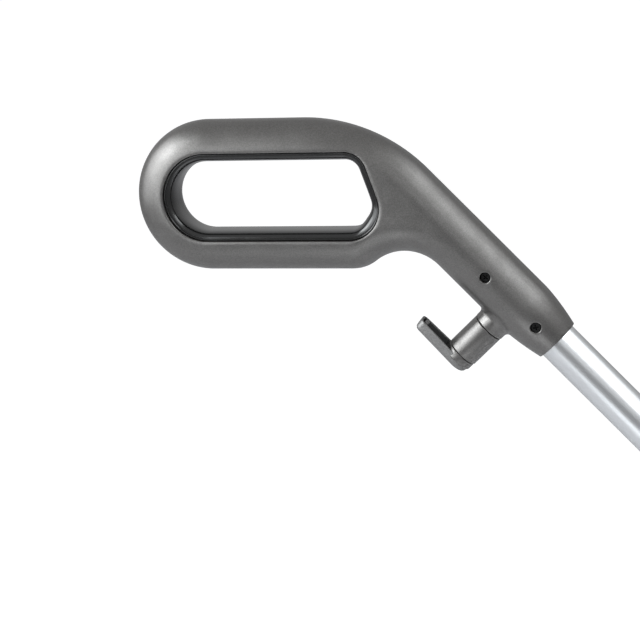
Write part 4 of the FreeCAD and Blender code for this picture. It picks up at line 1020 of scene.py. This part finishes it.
def button_skin():
    """Round power button with a dished top and a fine groove round it, on its stem."""
    edge = 1.6
    profile = [(0, 44), (12.5, 44), (BUTTON_RADIUS, 44.4), (BUTTON_RADIUS, BUTTON_TOP - edge)]
    profile += arc_points((BUTTON_RADIUS - edge, BUTTON_TOP - edge), edge, 15, 90, 6)
    profile += [(10.4, BUTTON_TOP), (10.2, 58.3), (10.05, 58.0), (9.8, 57.9), (9.55, 58.0), (9.4, 58.25)]
    profile += [(9.4 * (1 - step / 10), 58.25 - 0.75 * math.sin(math.pi / 2 * step / 10)) for step in range(1, 11)]
    vertices, faces = lathe(profile, 96)
    append_skin(vertices, faces, lathe([(0, 23), (2.2, 23), (2.4, 23.2), (2.4, 33), (5.2, 33), (5.2, 35), (2.4, 35),
                                        (2.4, 44.5), (0, 44.5)], 48))
    return [(x + BUTTON_X, y + BUTTON_Y, z) for x, y, z in vertices], faces


def coil_skin(centre, radius, wire, pitch, turns):
    """Helical spring that stands on a point, its wire swept round eight sides."""
    sides, per_turn = 8, 32
    rings = []
    for step in range(round(turns * per_turn) + 1):
        angle = 2 * math.pi * step / per_turn
        height = pitch * step / per_turn
        ring = []
        for corner in range(sides):
            turn = 2 * math.pi * corner / sides
            reach = radius + wire * math.cos(turn)
            ring.append((centre[0] + reach * math.cos(angle), centre[1] + reach * math.sin(angle),
                         centre[2] + height + wire * math.sin(turn)))
        rings.append(ring)
    vertices, faces = stitch(rings)
    faces.append(tuple(range(sides)))
    faces.append(tuple(range(len(vertices) - sides, len(vertices))))
    return vertices, faces


# Coil springs under the power button and the release pedal, each given a mesh of its own.
for name, node_name, joint_name, centre, coil, keep in (
        ("button_coil", "button_spring", "power_button_press", (BUTTON_X, BUTTON_Y, 27.7), (4.2, 0.45, 1.6, 2.8), 0.24),
        ("pedal_coil", "pedal_spring", "release_pedal_press", (-98, -64.5, 12.7), (5.0, 0.6, 5.6, 6), 0.91)):
    spring = add(name, coil_skin(centre, *coil), HEAD, "bright_steel", "head", node_name, sharp=60)
    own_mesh(spring)

add("button_cap", button_skin(), HEAD, "button_grey", "button", "power_button", sharp=35)

softened("handle_yoke", "yoke", "shell_grey", "handle", 0.8, 14)
softened("lower_cord_hook", "tube_hook", "shell_grey", "handle", 0.6, 10)


# ---- floor, light and camera

FLOOR_REACH, FLOOR_COLOUR, FLOOR_GLOW = 60.0, (0.56, 0.56, 0.57, 1), 0.70
HORIZON_STRENGTH, SKY_STRENGTH, SKY_HEIGHT = 0.34, 0.60, 0.4  # the sky is at full strength from that height
SKY_COLOUR, LAMP_COLOUR, WHITE = (0.99, 0.995, 1, 1), (0.97, 1.0, 1.02), (1, 1, 1, 1)


def make_stage():
    reach = FLOOR_REACH
    mesh = bpy.data.meshes.new("floor")
    corners = [(-reach, -reach, 0), (reach, -reach, 0), (reach, reach, 0), (-reach, reach, 0)]
    mesh.from_pydata(corners, [], [(0, 1, 2, 3)])
    floor = link_object("floor", mesh)
    paper = bpy.data.materials.new("floor_paper")
    paper.use_nodes = True
    tree = paper.node_tree
    shader = tree.nodes["Principled BSDF"]
    set_sockets(shader, Base_Color=FLOOR_COLOUR, Roughness=1.0, Specular_IOR_Level=0.0, Emission_Color=WHITE)
    # The paper shows near white to the eye, yet throws only its own reflected light on the object.
    lift = add_node(tree, "MapRange", To_Max=FLOOR_GLOW)
    tree.links.new(add_node(tree, "LightPath").outputs["Is Camera Ray"], lift.inputs["Value"])
    tree.links.new(lift.outputs["Result"], shader.inputs["Emission Strength"])
    mesh.materials.append(paper)


def make_world():
    """Dim surroundings, dimmer near the horizon, that light the object; plain white to the camera."""
    world = bpy.data.worlds.new("studio")
    bpy.context.scene.world = world
    world.use_nodes = True
    tree = world.node_tree
    link = tree.links.new
    light = tree.nodes["Background"]
    set_sockets(light, Color=SKY_COLOUR)
    parts = add_node(tree, "SeparateXYZ")
    strength = add_node(tree, "MapRange", From_Max=SKY_HEIGHT, To_Min=HORIZON_STRENGTH, To_Max=SKY_STRENGTH)
    link(add_node(tree, "TexCoord").outputs["Generated"], parts.inputs["Vector"])
    link(parts.outputs["Z"], strength.inputs["Value"])
    link(strength.outputs["Result"], light.inputs["Strength"])
    plain = add_node(tree, "Background", Color=WHITE)
    mix = add_node(tree, "MixShader")
    link(add_node(tree, "LightPath").outputs["Is Camera Ray"], mix.inputs["Fac"])
    link(light.outputs["Background"], mix.inputs[1])
    link(plain.outputs["Background"], mix.inputs[2])
    link(mix.outputs["Shader"], tree.nodes["World Output"].inputs["Surface"])


def aimed(position, target):
    """Rotation that points local -Z from position at target."""
    return (Vector(target) - Vector(position)).to_track_quat("-Z", "Y").to_euler()


def softbox(name, position, target, size, watts, spread=180):
    lamp = bpy.data.lights.new(name, "AREA")
    lamp.shape = "SQUARE"
    lamp.size = size
    lamp.energy = watts
    lamp.spread = math.radians(spread)
    lamp.color = LAMP_COLOUR
    holder = link_object(name, lamp)
    holder.location = position
    holder.rotation_euler = aimed(position, target)
    holder.visible_camera = False


def grip_softbox(name, right, up, back, distance, size, watts):
    """Soft light in the direction right, up and back as the camera sees them, aimed at the grip."""
    toward = (CAMERA_RIGHT * right + CAMERA_UP * up + CAMERA_BACK * back).normalized()
    softbox(name, GRIP_MIDDLE + toward * distance, GRIP_MIDDLE, size, watts)


def camera_axes():
    """The camera's right, up and back directions, from its turn, lift and roll."""
    turn, lift, roll = (math.radians(angle) for angle in CAMERA_ANGLES)
    back = Vector((math.sin(turn) * math.cos(lift), -math.cos(turn) * math.cos(lift), math.sin(lift)))
    right = Vector((math.cos(turn), math.sin(turn), 0))
    up = back.cross(right)
    return right * math.cos(roll) + up * math.sin(roll), up * math.cos(roll) - right * math.sin(roll), back


def make_camera():
    data = bpy.data.cameras.new("camera")
    data.lens, data.sensor_width, data.clip_end = CAMERA_LENS, 36.0, 200.0
    camera = link_object("camera", data)
    axes = Matrix((CAMERA_RIGHT, CAMERA_UP, CAMERA_BACK)).transposed().to_4x4()
    camera.matrix_world = Matrix.Translation(CAMERA_AIM + CAMERA_BACK * CAMERA_DISTANCE) @ axes
    bpy.context.scene.camera = camera


GRIP_MIDDLE = Vector((-0.42, 0, 0.74))
CAMERA_ANGLES, CAMERA_LENS = (13.0, 12.0, -2.5), 118.7  # turn, lift and roll; focal length
CAMERA_AIM, CAMERA_DISTANCE = Vector((-415.5, 0, 727.6)) * MM, 1.150
CAMERA_RIGHT, CAMERA_UP, CAMERA_BACK = camera_axes()
make_stage()
make_world()
for name, direction, distance, size, watts in (
        # direction as (right, up, back), distance, size, watts
        ("left_box", (-0.93, 0.20, 0.15), 1.5, 1.4, 14),
        ("left_front_box", (-0.87, 0.26, 0.42), 1.5, 0.9, 8),
        ("left_top_box", (-0.89, 0.45, 0.10), 1.5, 0.9, 6),
        ("left_inner_box", (-0.80, 0.30, 0.52), 1.5, 0.6, 4.5),
        ("left_face_box", (-0.72, -0.02, 0.69), 0.8, 0.4, 2.0),
        ("low_box", (-0.10, -0.80, 0.59), 0.8, 0.4, 0.7),
        ("right_box", (0.62, 0.58, 0.53), 1.7, 0.7, 6),
        ("right_front_box", (0.42, 0.38, 0.82), 1.7, 0.7, 4),
        ("right_top_box", (0.72, 0.68, 0.15), 1.7, 0.7, 3),
        ("front_box", (0.05, 0.10, 1.0), 2.2, 0.7, 2)):
    grip_softbox(name, *direction, distance, size, watts)
# The head has a light of its own, too narrow to reach the grip.
HEAD_MIDDLE, HEAD_LAMP = Vector((0.34, 0, 0.05)), Vector((0.90, -0.60, 1.10))
softbox("head_box", HEAD_LAMP, HEAD_MIDDLE, 0.8, 5, spread=50)
make_camera()
bpy.context.scene.view_settings.view_transform = "Standard"
